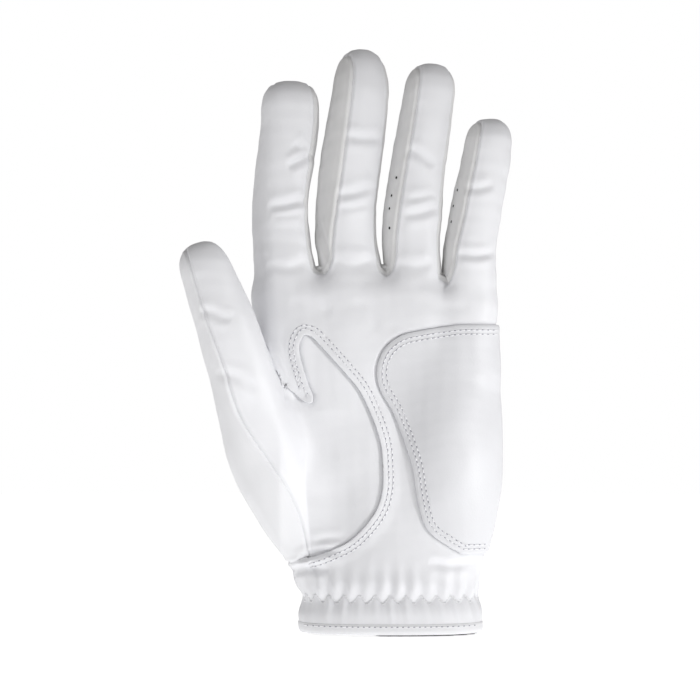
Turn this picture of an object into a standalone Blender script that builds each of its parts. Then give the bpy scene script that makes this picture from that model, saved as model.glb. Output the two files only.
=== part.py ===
"""A golf glove for the left hand, standing on its cuff with the fingers up.

+Z runs from the cuff to the fingertips, the palm faces -Y and the thumb points to -X.  The tables are in
millimetres from the middle of the cuff's opening, and MM turns them into metres where a mesh is made.
At the end everything is moved, so that the origin is the middle of the glove's box in plan, on the
plane that the cuff stands on.

The glove is a skin over a hand form.  The form is a field that is zero on the skin's outer side, put
together from limbs: sweeps with a rounded section.  A cage of quads is laid on the form with its columns
on the seams and its rows on the flex lines, and each panel is a set of the cage's faces, made thick.
"""

import math

import bpy
import numpy as np

MM = 0.001

LEATHER = 1.0  # thickness of the panels
PATCH = 0.8  # thickness of what is sewn on top of a panel
SEAM_GAP = 0.6  # between the edges of two panels that are sewn together
CROTCH_GAP = 0.8  # the same round the feet of the fourchettes, between the fingers
CROTCH_LEATHER = 0.5  # thickness of those feet
FOOT_EVENNESS = 0.7  # share of one common direction in which a foot's corners go inwards
FOOT_SEAM_EVENNESS = 0.25  # the same for the corners on its seams with the front and the back
STACK_GAP = 0.35  # between a panel and what lies on or under it
RIM_REACH = 0.3  # corners of a panel below this height are put on the ground, which makes the rim flat

# Limbs: (distance along the axis, sideways, towards the back, half width, half depth, turn in degrees).
PALM = (
    (0, 0.0, 0.0, 34.6, 21.0, 0),
    (6, -0.2, 0.0, 34.8, 20.6, 0),
    (12, 0.3, 0.0, 33.4, 19.6, 0),
    (20, -0.8, 0.0, 33.8, 18.8, 0),
    (28, -1.2, 0.0, 35.4, 18.2, 0),
    (40, -1.0, 0.5, 37.8, 17.4, 0),
    (55, -1.0, 1.0, 40.2, 16.6, 0),
    (72, -1.6, 1.5, 42.0, 15.8, 0),
    (90, -2.9, 1.5, 43.6, 14.8, 0),
    (107, -4.6, 1.0, 44.9, 13.8, 0),
    (118, -5.9, 0.5, 44.7, 13.0, 0),
    (126, -6.6, 0.0, 44.4, 12.2, 0),
)
PALM_CAP = 10.5
FINGERS = {
    "index": (
        (112, -38.5, 0.5, 12.4, 11.4, 4),
        (136, -40.0, 0.0, 11.9, 10.6, 8),
        (148, -41.6, -0.5, 10.9, 10.0, 12),
        (162, -42.2, -1.4, 10.5, 9.6, 15),
        (178, -40.4, -3.0, 10.8, 9.2, 16),
        (192, -38.4, -5.2, 11.0, 8.9, 16),
        (198, -38.2, -6.3, 10.8, 8.8, 16),
    ),
    "middle": (
        (112, -13.5, 0.5, 12.2, 11.6, 4),
        (136, -15.2, 0.0, 11.9, 10.8, 14),
        (148, -17.0, -0.5, 11.4, 10.2, 22),
        (160, -17.1, -1.3, 11.3, 9.8, 30),
        (175, -15.6, -2.8, 11.5, 9.6, 34),
        (190, -13.7, -4.8, 11.3, 9.4, 34),
        (202, -12.0, -7.0, 10.5, 8.9, 32),
    ),
    "ring": (
        (112, 8.0, 0.5, 11.6, 11.2, 4),
        (136, 8.6, 0.0, 10.8, 10.4, 10),
        (148, 7.6, -0.5, 10.8, 9.8, 16),
        (160, 8.3, -1.2, 11.0, 9.4, 20),
        (175, 10.0, -2.6, 10.2, 9.1, 22),
        (190, 12.5, -4.5, 9.9, 8.9, 22),
        (203, 14.2, -6.7, 9.2, 8.5, 22),
    ),
    "little": (
        (108, 27.5, 0.5, 10.6, 10.4, 4),
        (132, 29.6, 0.0, 10.2, 9.6, 12),
        (145, 29.9, -0.4, 9.8, 9.1, 18),
        (156, 31.9, -1.1, 9.6, 8.8, 21),
        (168, 34.0, -2.3, 9.5, 8.5, 22),
        (179, 36.1, -3.8, 8.9, 8.2, 22),
        (184, 36.8, -4.6, 8.5, 8.0, 22),
    ),
}
FINGER_CAPS = {"index": 10.6, "middle": 18.4, "ring": 12.1, "little": 10.2}
THUMB = (
    (0, 3.0, -1.0, 10.0, 12.5, 0),
    (22, 0.0, -3.5, 15.2, 14.5, 0),
    (45, -2.8, -7.0, 15.4, 13.6, 2),
    (62, -3.2, -11.0, 13.2, 12.0, 6),
    (75, -2.0, -15.0, 12.2, 11.0, 10),
    (92, -0.9, -18.6, 11.6, 10.2, 12),
    (110, -0.6, -20.8, 10.4, 9.4, 14),
    (118, -0.6, -21.9, 9.6, 8.9, 14),
)
THUMB_CAP = 11.6
# Outlines on the palm side, in X and Z: the edge of the palm panel's cut-out from its peak round to the
# cuff, the tongue's edge from the peak down to the thumb's crotch, and the heel patch.
CUTOUT_EDGE = (
    (-33.1, 112.9), (-29.6, 111.7), (-24.7, 106.8), (-17.9, 99.2), (-11.8, 91.6), (-7.2, 82.1), (-3.8, 71.8),
    (-3.0, 63.5), (-3.0, 55.1), (-4.9, 47.5), (-9.5, 40.7), (-16.0, 34.6), (-24.7, 30.4), (-32.3, 27.7),
)
TONGUE_EDGE = (
    (-33.1, 112.9), (-34.8, 109.4), (-34.8, 105.3), (-33.4, 99.9), (-31.5, 93.9),
    (-29.6, 89.7), (-30.0, 87.0), (-33.1, 87.8), (-36.5, 90.6), (-39.9, 93.1),
)
PATCH_EDGE = (
    (60.0, 115.9), (30.0, 116.3), (20.5, 115.5), (11.0, 114.0), (4.6, 112.5), (-0.4, 109.4),
    (-3.4, 105.6), (-5.1, 100.7), (-5.1, 95.4), (-3.4, 90.4), (0.4, 84.0), (3.4, 76.8),
    (6.5, 68.4), (8.4, 61.6), (9.5, 54.0), (11.0, 46.4), (12.9, 40.7), (16.0, 36.9),
    (20.5, 33.8), (24.7, 31.2), (30.0, 30.0), (60.0, 30.2),
)
THUMB_ROOT = (-28.0, 0.0, 25.0)
THUMB_LEAN = 20.1  # degrees from upright, towards -X
HEEL_PAD = ((22.0, -6.5, 62.0), (15.0, 13.0, 34.0))  # centre and half sizes of the little finger side's pad
WEB_LIFT = 1.6  # how far the leather bridges the valley between two fingers
LITTLE_CROTCH_DROP = 4.5  # how much lower the knuckle line is at the little finger

# Columns across the palm side at the knuckle line: index, middle, ring and little finger, four quads each.
KNUCKLE_X = (
    -49.5, -43.8, -37.8, -31.9, -26.2,
    -20.2, -14.3, -8.4, -2.5,
    3.2, 8.9, 14.6, 20.3,
    24.6, 28.9, 33.1, 36.6,
)
CROTCH_Z = (136.5, 136.8, 132.2)
THUMB_SEAM = (
    (0, -30.0), (12, -28.8), (20, -30.2), (28, -32.2), (41, -32.9),
    (50, -35.8), (58, -40.0), (66, -46.4), (75, -50.6), (84, -55.0),
)
PALM_ROWS = (0, 5.5, 12, 20, 28, 40, 52, 62, 72, 82, 90, 98, 111, 124)
THUMB_HOLE_ROW = 8  # the row of PALM_ROWS where the thumb starts; the hole is two rows tall
FIRST_LOOSE_ROW = 3  # rows from here up to the knuckle line are evened out
CUFF_ROW = 4  # the row where the thumb's panels end above the cuff
HEM_ROW = 1
SLIT_ROWS, SLIT_COLUMN = 6, 28  # the wrist slit in the back
KNUCKLE_BAND_ROW = 12
FINGER_ROWS = {  # after the knuckle line; the second and fourth are the flex lines
    "index": (145.5, 154.5, 163.8, 173, 182, 191, 198, 204.3),
    "middle": (146, 156.5, 168.0, 177, 186, 195, 203, 213.5),
    "ring": (146, 155.5, 165.5, 175, 184, 193, 202, 210.5),
    "little": (142, 150.5, 160.5, 167, 174, 180, 186, 191.2),
}
FLEX_ROWS = (0, 2)  # of FINGER_ROWS
THUMB_ROWS = (80, 86, 92, 98, 105, 112, 118, 124.5)
THUMB_BASE = 62.0
THUMB_FLEX_ROWS = (0, 3)
# Where the thumb's base runs from its palm side through the crease and over the web to its back.
WEB = (
    (-46.0, -21.6, 83.2), (-38.6, -14.0, 86.5), (-39.2, -12.2, 90.5), (-40.6, -10.8, 94.0),
    (-43.0, -9.0, 97.0), (-46.0, -6.0, 98.4), (-49.0, -1.5, 96.5), (-51.5, 2.0, 90.5),
)
FRONT_ANGLES = (-50, -26, 0, 26, 50)
SIDE_ANGLES = (70, 90, 110)
RING_ANGLES = FRONT_ANGLES + SIDE_ANGLES + tuple(180 + a for a in FRONT_ANGLES + SIDE_ANGLES)
HAND_SIDE_ANGLES = (79, 90, 101)
BACK_END = 36  # the ring's last corner on the back, which is behind its first on the palm side
COLUMNS = 40  # round the hand: 16 on the palm side, 4 on a side, 16 on the back and 4 on the other side
SECTION_POWER = 2.5
ROOT_FADE = 14.0  # over what length a limb dies away below its start
THUMB_LEAVES = 95.0  # the height from which the thumb's form no longer shapes the palm, but the fingers' do
MOST_SNAP = 6.0
PAD_FILLET, THUMB_FILLET, FINGER_FILLET = 9.0, 7.0, 4.0  # where the forms run into the palm
SIDE_MARGIN = 3.5  # from the hand's edge to the first column of the palm side
KNUCKLE_LOOK = 6.0  # how far under the knuckle line its corners are looked up
MOST_BACKWARD = 0.25  # a face whose normal points further back than this isn't on the palm side
THUMB_CREST = 128.6  # where the thumb's tip closes
PIVOT_LIFT = 0.15  # how far a joint's axis is outside the panels
ZIGZAG_REACH = 100.0  # degrees from the middle of the palm side


def smooth(table):
    """A smooth curve through a table's rows, as a function of the first column."""
    rows = np.array(table, float)
    at, values = rows[:, 0], rows[:, 1:]
    slopes = np.gradient(values, at, axis=0)

    def curve(t):
        t = np.clip(np.asarray(t, float), at[0], at[-1])
        i = np.clip(np.searchsorted(at, t, side="right") - 1, 0, len(at) - 2)
        span = (at[i + 1] - at[i])[..., None]
        u = (t - at[i])[..., None] / span
        ends = values[i] * (1 + 2 * u) * (1 - u) ** 2 + values[i + 1] * u**2 * (3 - 2 * u)
        return ends + span * (slopes[i] * u * (1 - u) ** 2 - slopes[i + 1] * u**2 * (1 - u))

    return curve


class Limb:
    """A sweep with a rounded section, closed by a dome, that knows its field and its rings."""

    def __init__(self, table, cap, root=(0, 0, 0), lean=0.0, drop=None):
        a = math.radians(lean)
        self.root = np.array(root, float)
        self.axis = np.array([-math.sin(a), 0, math.cos(a)])
        self.side = np.array([math.cos(a), 0, math.sin(a)])
        self.back = np.array([0, 1.0, 0])
        self.profile = smooth(table)
        self.end, self.cap, self.drop = table[-1][0], cap, drop

    def local(self, points):
        q = points - self.root
        along = q @ self.axis
        if self.drop is not None:
            along = along + self.drop(points)
        sideways, backwards, width, depth, turn = np.moveaxis(self.profile(along), -1, 0)
        x, y, a = q @ self.side - sideways, q @ self.back - backwards, np.radians(turn)
        return along, x * np.cos(a) + y * np.sin(a), y * np.cos(a) - x * np.sin(a), width, depth

    def field(self, points):
        along, x, y, width, depth = self.local(points)
        dome = np.maximum(along - self.end, 0) / self.cap + np.maximum(-along, 0) / ROOT_FADE
        size = np.abs(x / width) ** SECTION_POWER + np.abs(y / depth) ** SECTION_POWER + dome**SECTION_POWER
        return (size ** (1 / SECTION_POWER) - 1) * np.minimum(width, depth)

    def ring(self, along, angles):
        """Points on the skin, this far along the limb; angle 0 faces the palm, 90 the little finger."""
        sideways, backwards, width, depth, turn = self.profile(along)
        a, t = np.radians(angles), math.radians(turn)
        x, y = np.sin(a), -np.cos(a)
        total = np.abs(x / width) ** SECTION_POWER + np.abs(y / depth) ** SECTION_POWER
        reach = total ** (-1 / SECTION_POWER)
        reach *= (1 - min(1, max(0, along - self.end) / self.cap) ** SECTION_POWER) ** (1 / SECTION_POWER)
        x, y = x * reach, y * reach
        x, y = x * math.cos(t) - y * math.sin(t), x * math.sin(t) + y * math.cos(t)
        return (
            self.root + along * self.axis
            + (sideways + x)[:, None] * self.side + (backwards + y)[:, None] * self.back
        )


def knuckle_drop(points):
    """The knuckle line comes down towards the little finger."""
    u = np.clip((points[..., 0] - 4) / 18, 0, 1)
    high = np.clip((points[..., 2] - 90) / 30, 0, 1)
    return LITTLE_CROTCH_DROP * u * u * (3 - 2 * u) * high


def merged(a, b, blend):
    """The union of two fields with a fillet."""
    h = np.maximum(blend - np.abs(a - b), 0) / blend
    return np.minimum(a, b) - h * h * blend / 4


palm_limb = Limb(PALM, PALM_CAP, drop=knuckle_drop)
thumb_limb = Limb(THUMB, THUMB_CAP, THUMB_ROOT, THUMB_LEAN)
finger_limbs = {name: Limb(rows, FINGER_CAPS[name]) for name, rows in FINGERS.items()}


def palm_field(points):
    """The palm and its heel pad."""
    centre, half = (np.array(v) for v in HEEL_PAD)
    pad = (np.linalg.norm((points - centre) / half, axis=-1) - 1) * half.min()
    return merged(palm_limb.field(points), pad, PAD_FILLET)


def hand_field(points):
    """The palm with the thumb."""
    return merged(palm_field(points), thumb_limb.field(points), THUMB_FILLET)


def thumb_field(points):
    """The thumb alone, without the fillet to the palm."""
    return thumb_limb.field(points)


def finger_field(name):
    """The palm with one finger: fingers never blend with each other, so the crotches stay crisp."""
    return lambda points: merged(palm_field(points), finger_limbs[name].field(points), FINGER_FILLET)


def knuckle_field(points):
    """The palm with its four fingers."""
    return np.minimum.reduce([finger_field(name)(points) for name in FINGERS])


def gradient(field, points, step=0.05):
    out = np.empty_like(points)
    for k in range(3):
        shift = np.zeros(3)
        shift[k] = step
        out[:, k] = (field(points + shift) - field(points - shift)) / (2 * step)
    return out


def settle(field, points, rounds=8):
    """Moves points onto the skin, straight along the field."""
    points = np.array(points, float)
    for _ in range(rounds):
        slope = gradient(field, points)
        points -= (field(points) / np.maximum((slope**2).sum(1), 0.05))[:, None] * slope
    return points


def cast(field, starts, directions, reach=90.0):
    """The skin's point on each ray, found by halving, from a start inside the form."""
    low, high = np.zeros(len(starts)), np.full(len(starts), reach)
    for _ in range(30):
        middle = (low + high) / 2
        inside = field(starts + middle[:, None] * directions) < 0
        low, high = np.where(inside, middle, low), np.where(inside, high, middle)
    return starts + low[:, None] * directions


def on_side(x, z, back, field=hand_field):
    """Points of the palm side or the back at the given places, seen straight on."""
    x, z = np.broadcast_arrays(np.asarray(x, float), np.asarray(z, float))
    starts = np.stack([x.ravel(), np.full(x.size, -3.0), z.ravel()], 1)
    directions = np.tile([0, 1.0 if back else -1.0, 0], (x.size, 1))
    return cast(field, starts, directions).reshape(x.shape + (3,))


def around(angle, z, field=hand_field):
    """Points all round the hand: angle 0 is the palm side, 90 the little finger's side and 180 the back."""
    angle, z = np.broadcast_arrays(np.radians(angle), np.asarray(z, float))
    middle = palm_limb.profile(z.ravel())
    starts = np.stack([middle[:, 0], middle[:, 1], z.ravel()], 1)
    directions = np.stack([np.sin(angle.ravel()), -np.cos(angle.ravel()), np.zeros(angle.size)], 1)
    return cast(field, starts, directions).reshape(z.shape + (3,))


class Cage:
    """Quads on the hand form.  Each face is tagged with the panel that it belongs to."""

    def __init__(self):
        self.points, self.fields, self.faces, self.tags, self.loose = [], [], [], [], set()

    def add(self, point, field):
        self.points.append(np.array(point, float))
        self.fields.append(field)
        return len(self.points) - 1

    def face(self, corners, tag):
        corners = [c for k, c in enumerate(corners) if c != corners[k - 1]]
        self.faces.append(corners)
        self.tags.append(tag)

    def strip(self, low, high, tags):
        """Quads between two open or closed rows of corners; tags names the panel of each quad."""
        for k, tag in enumerate(tags):
            if tag:
                n = (k + 1) % len(low)
                self.face([low[k], low[n], high[n], high[k]], tag)

    def settle_all(self, rounds):
        for field in set(self.fields):
            chosen = [i for i, f in enumerate(self.fields) if f is field]
            self.points[chosen] = settle(field, self.points[chosen], rounds)

    def even_out(self, rounds):
        """Slides the loose points along the form towards the middle of their neighbours."""
        ends = np.array([(face[k - 1], face[k]) for face in self.faces for k in range(len(face))])
        ends = np.unique(np.sort(ends, axis=1), axis=0)
        count = np.bincount(ends.ravel(), minlength=len(self.points))
        loose = np.array([c for c in sorted(self.loose) if count[c]])
        groups = [
            (field, np.array([c for c in loose if self.fields[c] is field]))
            for field in {self.fields[c] for c in loose}
        ]
        for _ in range(rounds):
            total = np.zeros_like(self.points)
            np.add.at(total, ends[:, 0], self.points[ends[:, 1]])
            np.add.at(total, ends[:, 1], self.points[ends[:, 0]])
            middle = total[loose] / count[loose, None]
            self.points[loose] += 0.5 * (middle - self.points[loose])
            for field, group in groups:
                self.points[group] = settle(field, self.points[group], 1)

    def finish(self):
        """Settles the points on the form and works out normals that point outwards."""
        self.points = np.array(self.points, float)
        self.settle_all(6)
        self.even_out(60)
        self.settle_all(6)
        points = self.points
        normals = np.zeros_like(points)
        for face in self.faces:
            loop = points[face]
            normal = sum(np.cross(loop[j - 1] - loop[0], loop[j] - loop[0]) for j in range(2, len(face)))
            normals[face] += normal / np.linalg.norm(normal)
        self.normals = normals / np.maximum(np.linalg.norm(normals, axis=1), 1e-9)[:, None]
        return self


def palm_row(z):
    """One ring of the hand: 17 columns of the palm side, a side, 17 of the back and a side."""
    up = np.clip((z - 84) / (130 - 84), 0, 1) ** 0.8
    below_thumb = z <= PALM_ROWS[THUMB_HOLE_ROW]
    left = around(270, z)[0] if below_thumb else palm_limb.profile(z)[0] - palm_limb.profile(z)[2]
    right = around(90, z)[0]
    seam = smooth(THUMB_SEAM)(z)[0] if below_thumb else left + SIDE_MARGIN
    return np.linspace(seam, right - SIDE_MARGIN, 17) * (1 - up) + np.array(KNUCKLE_X) * up


def build_cage():
    cage = Cage()
    rows = []
    for z in PALM_ROWS:
        x = palm_row(z)
        field = knuckle_field if z > THUMB_LEAVES else hand_field
        front, back = on_side(x, z, False, field), on_side(x[::-1], z, True, field)
        right, left = (around(np.add(HAND_SIDE_ANGLES, turn), z, field) for turn in (0, 180))
        rows.append([cage.add(p, field) for p in (*front, *right, *back, *left)])
        if len(rows) > FIRST_LOOSE_ROW:
            cage.loose.update(rows[-1])
            if len(rows) <= THUMB_HOLE_ROW + 1:
                cage.loose.remove(rows[-1][0])
    cage.rows = list(rows)
    # The knuckle line: the top of the hand and the first ring of every finger.
    crotch = np.interp(KNUCKLE_X, (KNUCKLE_X[4], KNUCKLE_X[8], KNUCKLE_X[12]), CROTCH_Z)
    names = list(FINGERS)
    top_fields = [finger_field(name) for name in names]
    owner = [0] * 4 + [None] + [1] * 3 + [None] + [2] * 3 + [None] + [3] * 4
    low = crotch - KNUCKLE_LOOK
    front, back = on_side(KNUCKLE_X, low, False), on_side(KNUCKLE_X[::-1], low[::-1], True)
    front[:, 2] += KNUCKLE_LOOK
    back[:, 2] += KNUCKLE_LOOK
    # The outermost corners are on the edge of the hand, so they come from the fingers' own rings.
    for name, column, angle in (("index", 0, FRONT_ANGLES[0]), ("little", 16, FRONT_ANGLES[-1])):
        front[column], back[16 - column] = finger_limbs[name].ring(crotch[column], (angle, 180 - angle))
    top = [cage.add(p, knuckle_field if o is None else top_fields[o]) for p, o in zip(front, owner)]
    top += [cage.add(p, top_fields[3]) for p in finger_limbs["little"].ring(crotch[-1], SIDE_ANGLES)]
    top += [cage.add(p, knuckle_field if o is None else top_fields[o]) for p, o in zip(back, owner[::-1])]
    far_angles = np.add(SIDE_ANGLES, 180)
    top += [cage.add(p, top_fields[0]) for p in finger_limbs["index"].ring(crotch[0], far_angles)]
    rows.append(top)
    crotches = []
    for i, k in enumerate((4, 8, 12)):
        ends = cage.points[top[k]], cage.points[top[BACK_END - k]]
        line = [valley(*top_fields[i : i + 2], ends[0] * (1 - u) + ends[1] * u) for u in (0.25, 0.5, 0.75)]
        crotches.append([cage.add(p, unmoved) for p in line])
    add_hand_faces(cage, rows)
    for i, name in enumerate(names):
        add_finger(cage, name, top_fields[i], finger_base(top, crotches, i))
    add_thumb(cage, rows)
    return cage.finish()


def valley(first, second, start, rounds=25):
    """Just above where two fingers' skins meet at the start's depth, found by Newton steps in X and Z."""
    p = np.array(start, float)
    for _ in range(rounds):
        values = np.array([f(p[None])[0] for f in (first, second)])
        slopes = np.array([gradient(f, p[None])[0][[0, 2]] for f in (first, second)])
        step = np.linalg.lstsq(slopes, -values, rcond=0.05)[0]
        p[[0, 2]] += step * min(1, 1.5 / max(np.linalg.norm(step), 1e-9))
    return p + (0, 0, WEB_LIFT)


def unmoved(points):
    """The field of points that stay where they are put."""
    return np.zeros(len(points))


def finger_base(top, crotches, i):
    """The ring of corners that a finger starts from: parts of the knuckle line and of the crotches."""
    right = top[17:20] if i == 3 else crotches[i]
    left = top[37:40] if i == 0 else crotches[i - 1][::-1]
    return top[4 * i : 4 * i + 5] + right + top[BACK_END - 4 * i - 4 : BACK_END - 4 * i + 1] + left


def add_hand_faces(cage, rows):
    for r in range(len(rows) - 1):
        tags = ["palm_panel"] * 20 + ["back_panel"] * 16 + ["palm_panel"] * 4
        if r < HEM_ROW:
            tags = ["hem_binding"] * COLUMNS
        if CUFF_ROW <= r < THUMB_HOLE_ROW:
            # Left of the thumb's seam, round the edge of the hand and one column of the back.
            tags[35:] = ["thumb_back_base"] * 5
        if r in (THUMB_HOLE_ROW, THUMB_HOLE_ROW + 1):
            tags[35:] = [None] * 5
            tags[0] = None
        if r < SLIT_ROWS:
            tags[SLIT_COLUMN] = None
        if r == KNUCKLE_BAND_ROW:
            tags[22:34] = ["knuckle_stretch_band"] * 12
        cage.strip(rows[r], rows[r + 1], tags)


def side_tags(name, segment):
    """Panels round a finger: palm side, little finger's side, back and thumb's side, four quads wide each."""
    front, back = ("palm_panel", "back_panel") if segment == "base" else (f"{name}_front", f"{name}_back")
    right = f"{name}_fourchette_little_side" if name != "little" else front
    left = f"{name}_fourchette_thumb_side" if name != "index" else front
    sides = [front] * 4 + [right] * 4 + [back] * 4 + [left] * 4
    return [side if side.endswith("_panel") else f"{side}_{segment}" for side in sides]


def add_finger(cage, name, field, base):
    limb = finger_limbs[name]
    low = base
    segment = "base"
    for r, along in enumerate(FINGER_ROWS[name]):
        high = [cage.add(p, field) for p in limb.ring(along, RING_ANGLES)]
        cage.strip(low, high, side_tags(name, segment))
        low = high
        if r == FLEX_ROWS[0]:
            segment = "lower"
        elif r == FLEX_ROWS[1]:
            segment = "upper"
    tip = limb.end + limb.cap
    ends = limb.ring(limb.end + 0.94 * limb.cap, (-90, 90))
    crest = [ends[0] + (ends[1] - ends[0]) * u for u in np.linspace(0.0, 1, 5)]
    crest = [cage.add(np.array([p[0], p[1], tip - 0.06 * limb.cap]), field) for p in crest]
    last = crest + [crest[4]] * 3 + crest[::-1] + [crest[0]] * 3
    cage.strip(low, last, side_tags(name, "upper"))


def thumb_angles(along):
    """Sixteen angles round the thumb; the fifteenth is on the seam, which nears the palm side lower down."""
    seam = np.interp(along, (THUMB_BASE, 80, 102, 124), (-26, -36, -46, -44))
    return np.interp(np.arange(16), (0, 8, 14, 16), (0, 180, 360 + seam, 360))


def add_thumb(cage, rows):
    """The thumb grows out of the hole that the hand's faces leave, sixteen quads round."""
    r = THUMB_HOLE_ROW
    columns = (1, 0, 39, 38, 37, 36, 35)
    around_low = [rows[r][k] for k in columns]
    around_high = [rows[r + 2][k] for k in columns]
    loop = [rows[r + 1][1]] + around_high + [rows[r + 1][35]] + around_low[::-1]
    base = thumb_limb.ring(THUMB_BASE, thumb_angles(THUMB_BASE))
    base[:8] = WEB
    for corner, p in zip(loop, base):
        cage.points[corner] = p
    cage.loose.difference_update(loop)
    low, segment = loop, "base"
    # The palm side's panel runs from the seam at 315 degrees round to the seam at 112.5 degrees.
    sides = ["thumb_front"] * 5 + ["thumb_back"] * 9 + ["thumb_front"] * 2
    between = (base + thumb_limb.ring(THUMB_ROWS[0], thumb_angles(THUMB_ROWS[0]))) / 2
    high = [cage.add(p, thumb_field) for p in between]
    cage.loose.update(high)
    cage.strip(low, high, [f"{side}_base" for side in sides])
    low = high
    for n, along in enumerate(THUMB_ROWS):
        high = [cage.add(p, thumb_field) for p in thumb_limb.ring(along, thumb_angles(along))]
        cage.strip(low, high, [f"{side}_{segment}" for side in sides])
        low = high
        if n == THUMB_FLEX_ROWS[0]:
            segment = "lower"
        elif n == THUMB_FLEX_ROWS[1]:
            segment = "upper"
    crest = [cage.add(p, thumb_field) for p in thumb_limb.ring(THUMB_CREST, (-90, -45, 0, 45, 90))]
    line = np.linspace(0, 1, 7)
    ends = (cage.points[crest[0]], cage.points[crest[-1]])
    spine = [cage.add(ends[0] * (1 - u) + ends[1] * u, thumb_field) for u in line]
    # Twelve of the sixteen corners close in pairs along the spine; the others fan out at its ends.
    last = [spine[k] for k in (3, 4, 5, 6, 6, 6, 5, 4, 3, 2, 1, 0, 0, 0, 1, 2)]
    cage.strip(low, last, [f"{side}_upper" for side in sides])


def inside(outline, x, z):
    """Whether points lie inside a closed outline."""
    inner = np.zeros(len(x), bool)
    for (x0, z0), (x1, z1) in zip(outline, outline[1:] + outline[:1]):
        crosses = (z0 > z) != (z1 > z)
        inner ^= crosses & (x < (x1 - x0) * (z - z0) / ((z1 - z0) or 1.0) + x0)
    return inner


def nearest_on(line, point):
    """The point of an open outline that is nearest to a point."""
    a, b = np.array(line[:-1], float), np.array(line[1:], float)
    t = np.clip(((point - a) * (b - a)).sum(1) / ((b - a) ** 2).sum(1), 0, 1)[:, None]
    found = a + t * (b - a)
    return found[np.argmin(np.linalg.norm(found - point, axis=1))]


def faces_inside(cage, tag, outline):
    centres = np.array([cage.points[f].mean(0) for f in cage.faces])
    facing = np.array([cage.normals[f].mean(0)[1] for f in cage.faces])
    inner = inside(outline, centres[:, 0], centres[:, 2]) & (facing < MOST_BACKWARD)
    return [bool(found and t == tag) for found, t in zip(inner, cage.tags)]


def snap_border(cage, tag, chosen, line):
    """Moves the border between the chosen faces and the rest of their panel onto a line."""
    corners = [set(), set()]
    for face, t, pick in zip(cage.faces, cage.tags, chosen):
        if t == tag:
            corners[pick].update(face)
    for c in corners[0] & corners[1]:
        x, z = nearest_on(line, cage.points[c][[0, 2]]) - cage.points[c][[0, 2]]
        if math.hypot(x, z) < MOST_SNAP:
            cage.points[c] = settle(cage.fields[c], [cage.points[c] + (x, 0, z)])[0]


def give_away_islands(cage, tag, new):
    """Hands the faces that are cut off from the rest of their panel to another panel."""
    left = {i for i, t in enumerate(cage.tags) if t == tag}
    islands = []
    while left:
        island, front = set(), [left.pop()]
        while front:
            face = front.pop()
            island.add(face)
            corners = cage.faces[face]
            edges = {frozenset(pair) for pair in zip(corners, corners[1:] + corners[:1])}
            touching = [
                i for i in left
                if any({a, b} in edges for a, b in zip(cage.faces[i], cage.faces[i][1:] + cage.faces[i][:1]))
            ]
            left.difference_update(touching)
            front += touching
        islands.append(island)
    for island in sorted(islands, key=len)[:-1]:
        for i in island:
            cage.tags[i] = new


def shape_outlines(cage):
    """Cuts the thumb's front panel and the heel patch out of the palm along their real outlines."""
    thumb_side = ((-70.0, 27.7), (-70.0, 93.1))
    thenar = CUTOUT_EDGE + thumb_side + TONGUE_EDGE[::-1]
    chosen = faces_inside(cage, "palm_panel", thenar)
    snap_border(cage, "palm_panel", chosen, CUTOUT_EDGE[::-1] + TONGUE_EDGE[1:])
    cage.tags = ["thumb_front_base" if pick else tag for pick, tag in zip(chosen, cage.tags)]
    give_away_islands(cage, "palm_panel", "thumb_front_base")
    cage.patch = faces_inside(cage, "palm_panel", PATCH_EDGE)
    snap_border(cage, "palm_panel", cage.patch, PATCH_EDGE)


# The things that are not quads of the cage, in millimetres.
FACING_TOP = 9.0  # the dark tape inside the cuff
ELASTIC = (10.0, 16.5)  # the band inside the wrist
ZIGZAG = (11.4, 14.6, 6.0)  # low and high points of the wrist's zigzag seam, and its pitch
THREAD = 0.55  # thickness of a row of stitches
TAB_HINGE_X = -19.0
TAB_GAP = 0.45  # on each side of the closure tab's hinge
TAB = (10.0, 33.0, 24.0)  # low edge, high edge and the tip of the closure tab
HOOK_PAD = (6.0, 19.5, 13.0, 30.0)
LOOP_PAD = (4.5, 25.5, 11.0, 34.0)
TAB_BASE = (-29.0, 9.0, 34.0)
LAYER = {  # how far the inner and outer side of each stacked layer are from the panels' outer side
    "patch": (STACK_GAP, STACK_GAP + PATCH),
    "loop": (STACK_GAP, STACK_GAP + 0.8),
    "hook": (1.5, 2.2),
    "tab": (2.55, 3.55),
    "facing": (-LEATHER - 1.3, -LEATHER - 0.6),
}
COLOURS = {  # colour, roughness
    "palm_leather": ((0.86, 0.86, 0.89), 0.42),
    "patch_leather": ((0.72, 0.73, 0.76), 0.48),
    "back_fabric": ((0.84, 0.84, 0.86), 0.60),
    "fourchette_leather": ((0.78, 0.78, 0.78), 0.55),
    "stretch_mesh": ((0.80, 0.80, 0.82), 0.80),
    "binding": ((0.88, 0.88, 0.90), 0.60),
    "elastic": ((0.80, 0.80, 0.80), 0.80),
    "dark_tape": ((0.05, 0.05, 0.055), 0.80),
    "hook": ((0.80, 0.80, 0.80), 0.90),
    "loop": ((0.84, 0.84, 0.84), 0.95),
    "thread": ((0.88, 0.88, 0.90), 0.60),
}


def material(slot):
    found = bpy.data.materials.get(slot)
    if found:
        return found
    colour, roughness = COLOURS[slot]
    made = bpy.data.materials.new(slot)
    made.use_nodes = True
    shader = made.node_tree.nodes["Principled BSDF"]
    shader.inputs["Base Color"].default_value = (*colour, 1)
    shader.inputs["Roughness"].default_value = roughness
    shader.inputs["Metallic"].default_value = 0.0
    return made


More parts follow.
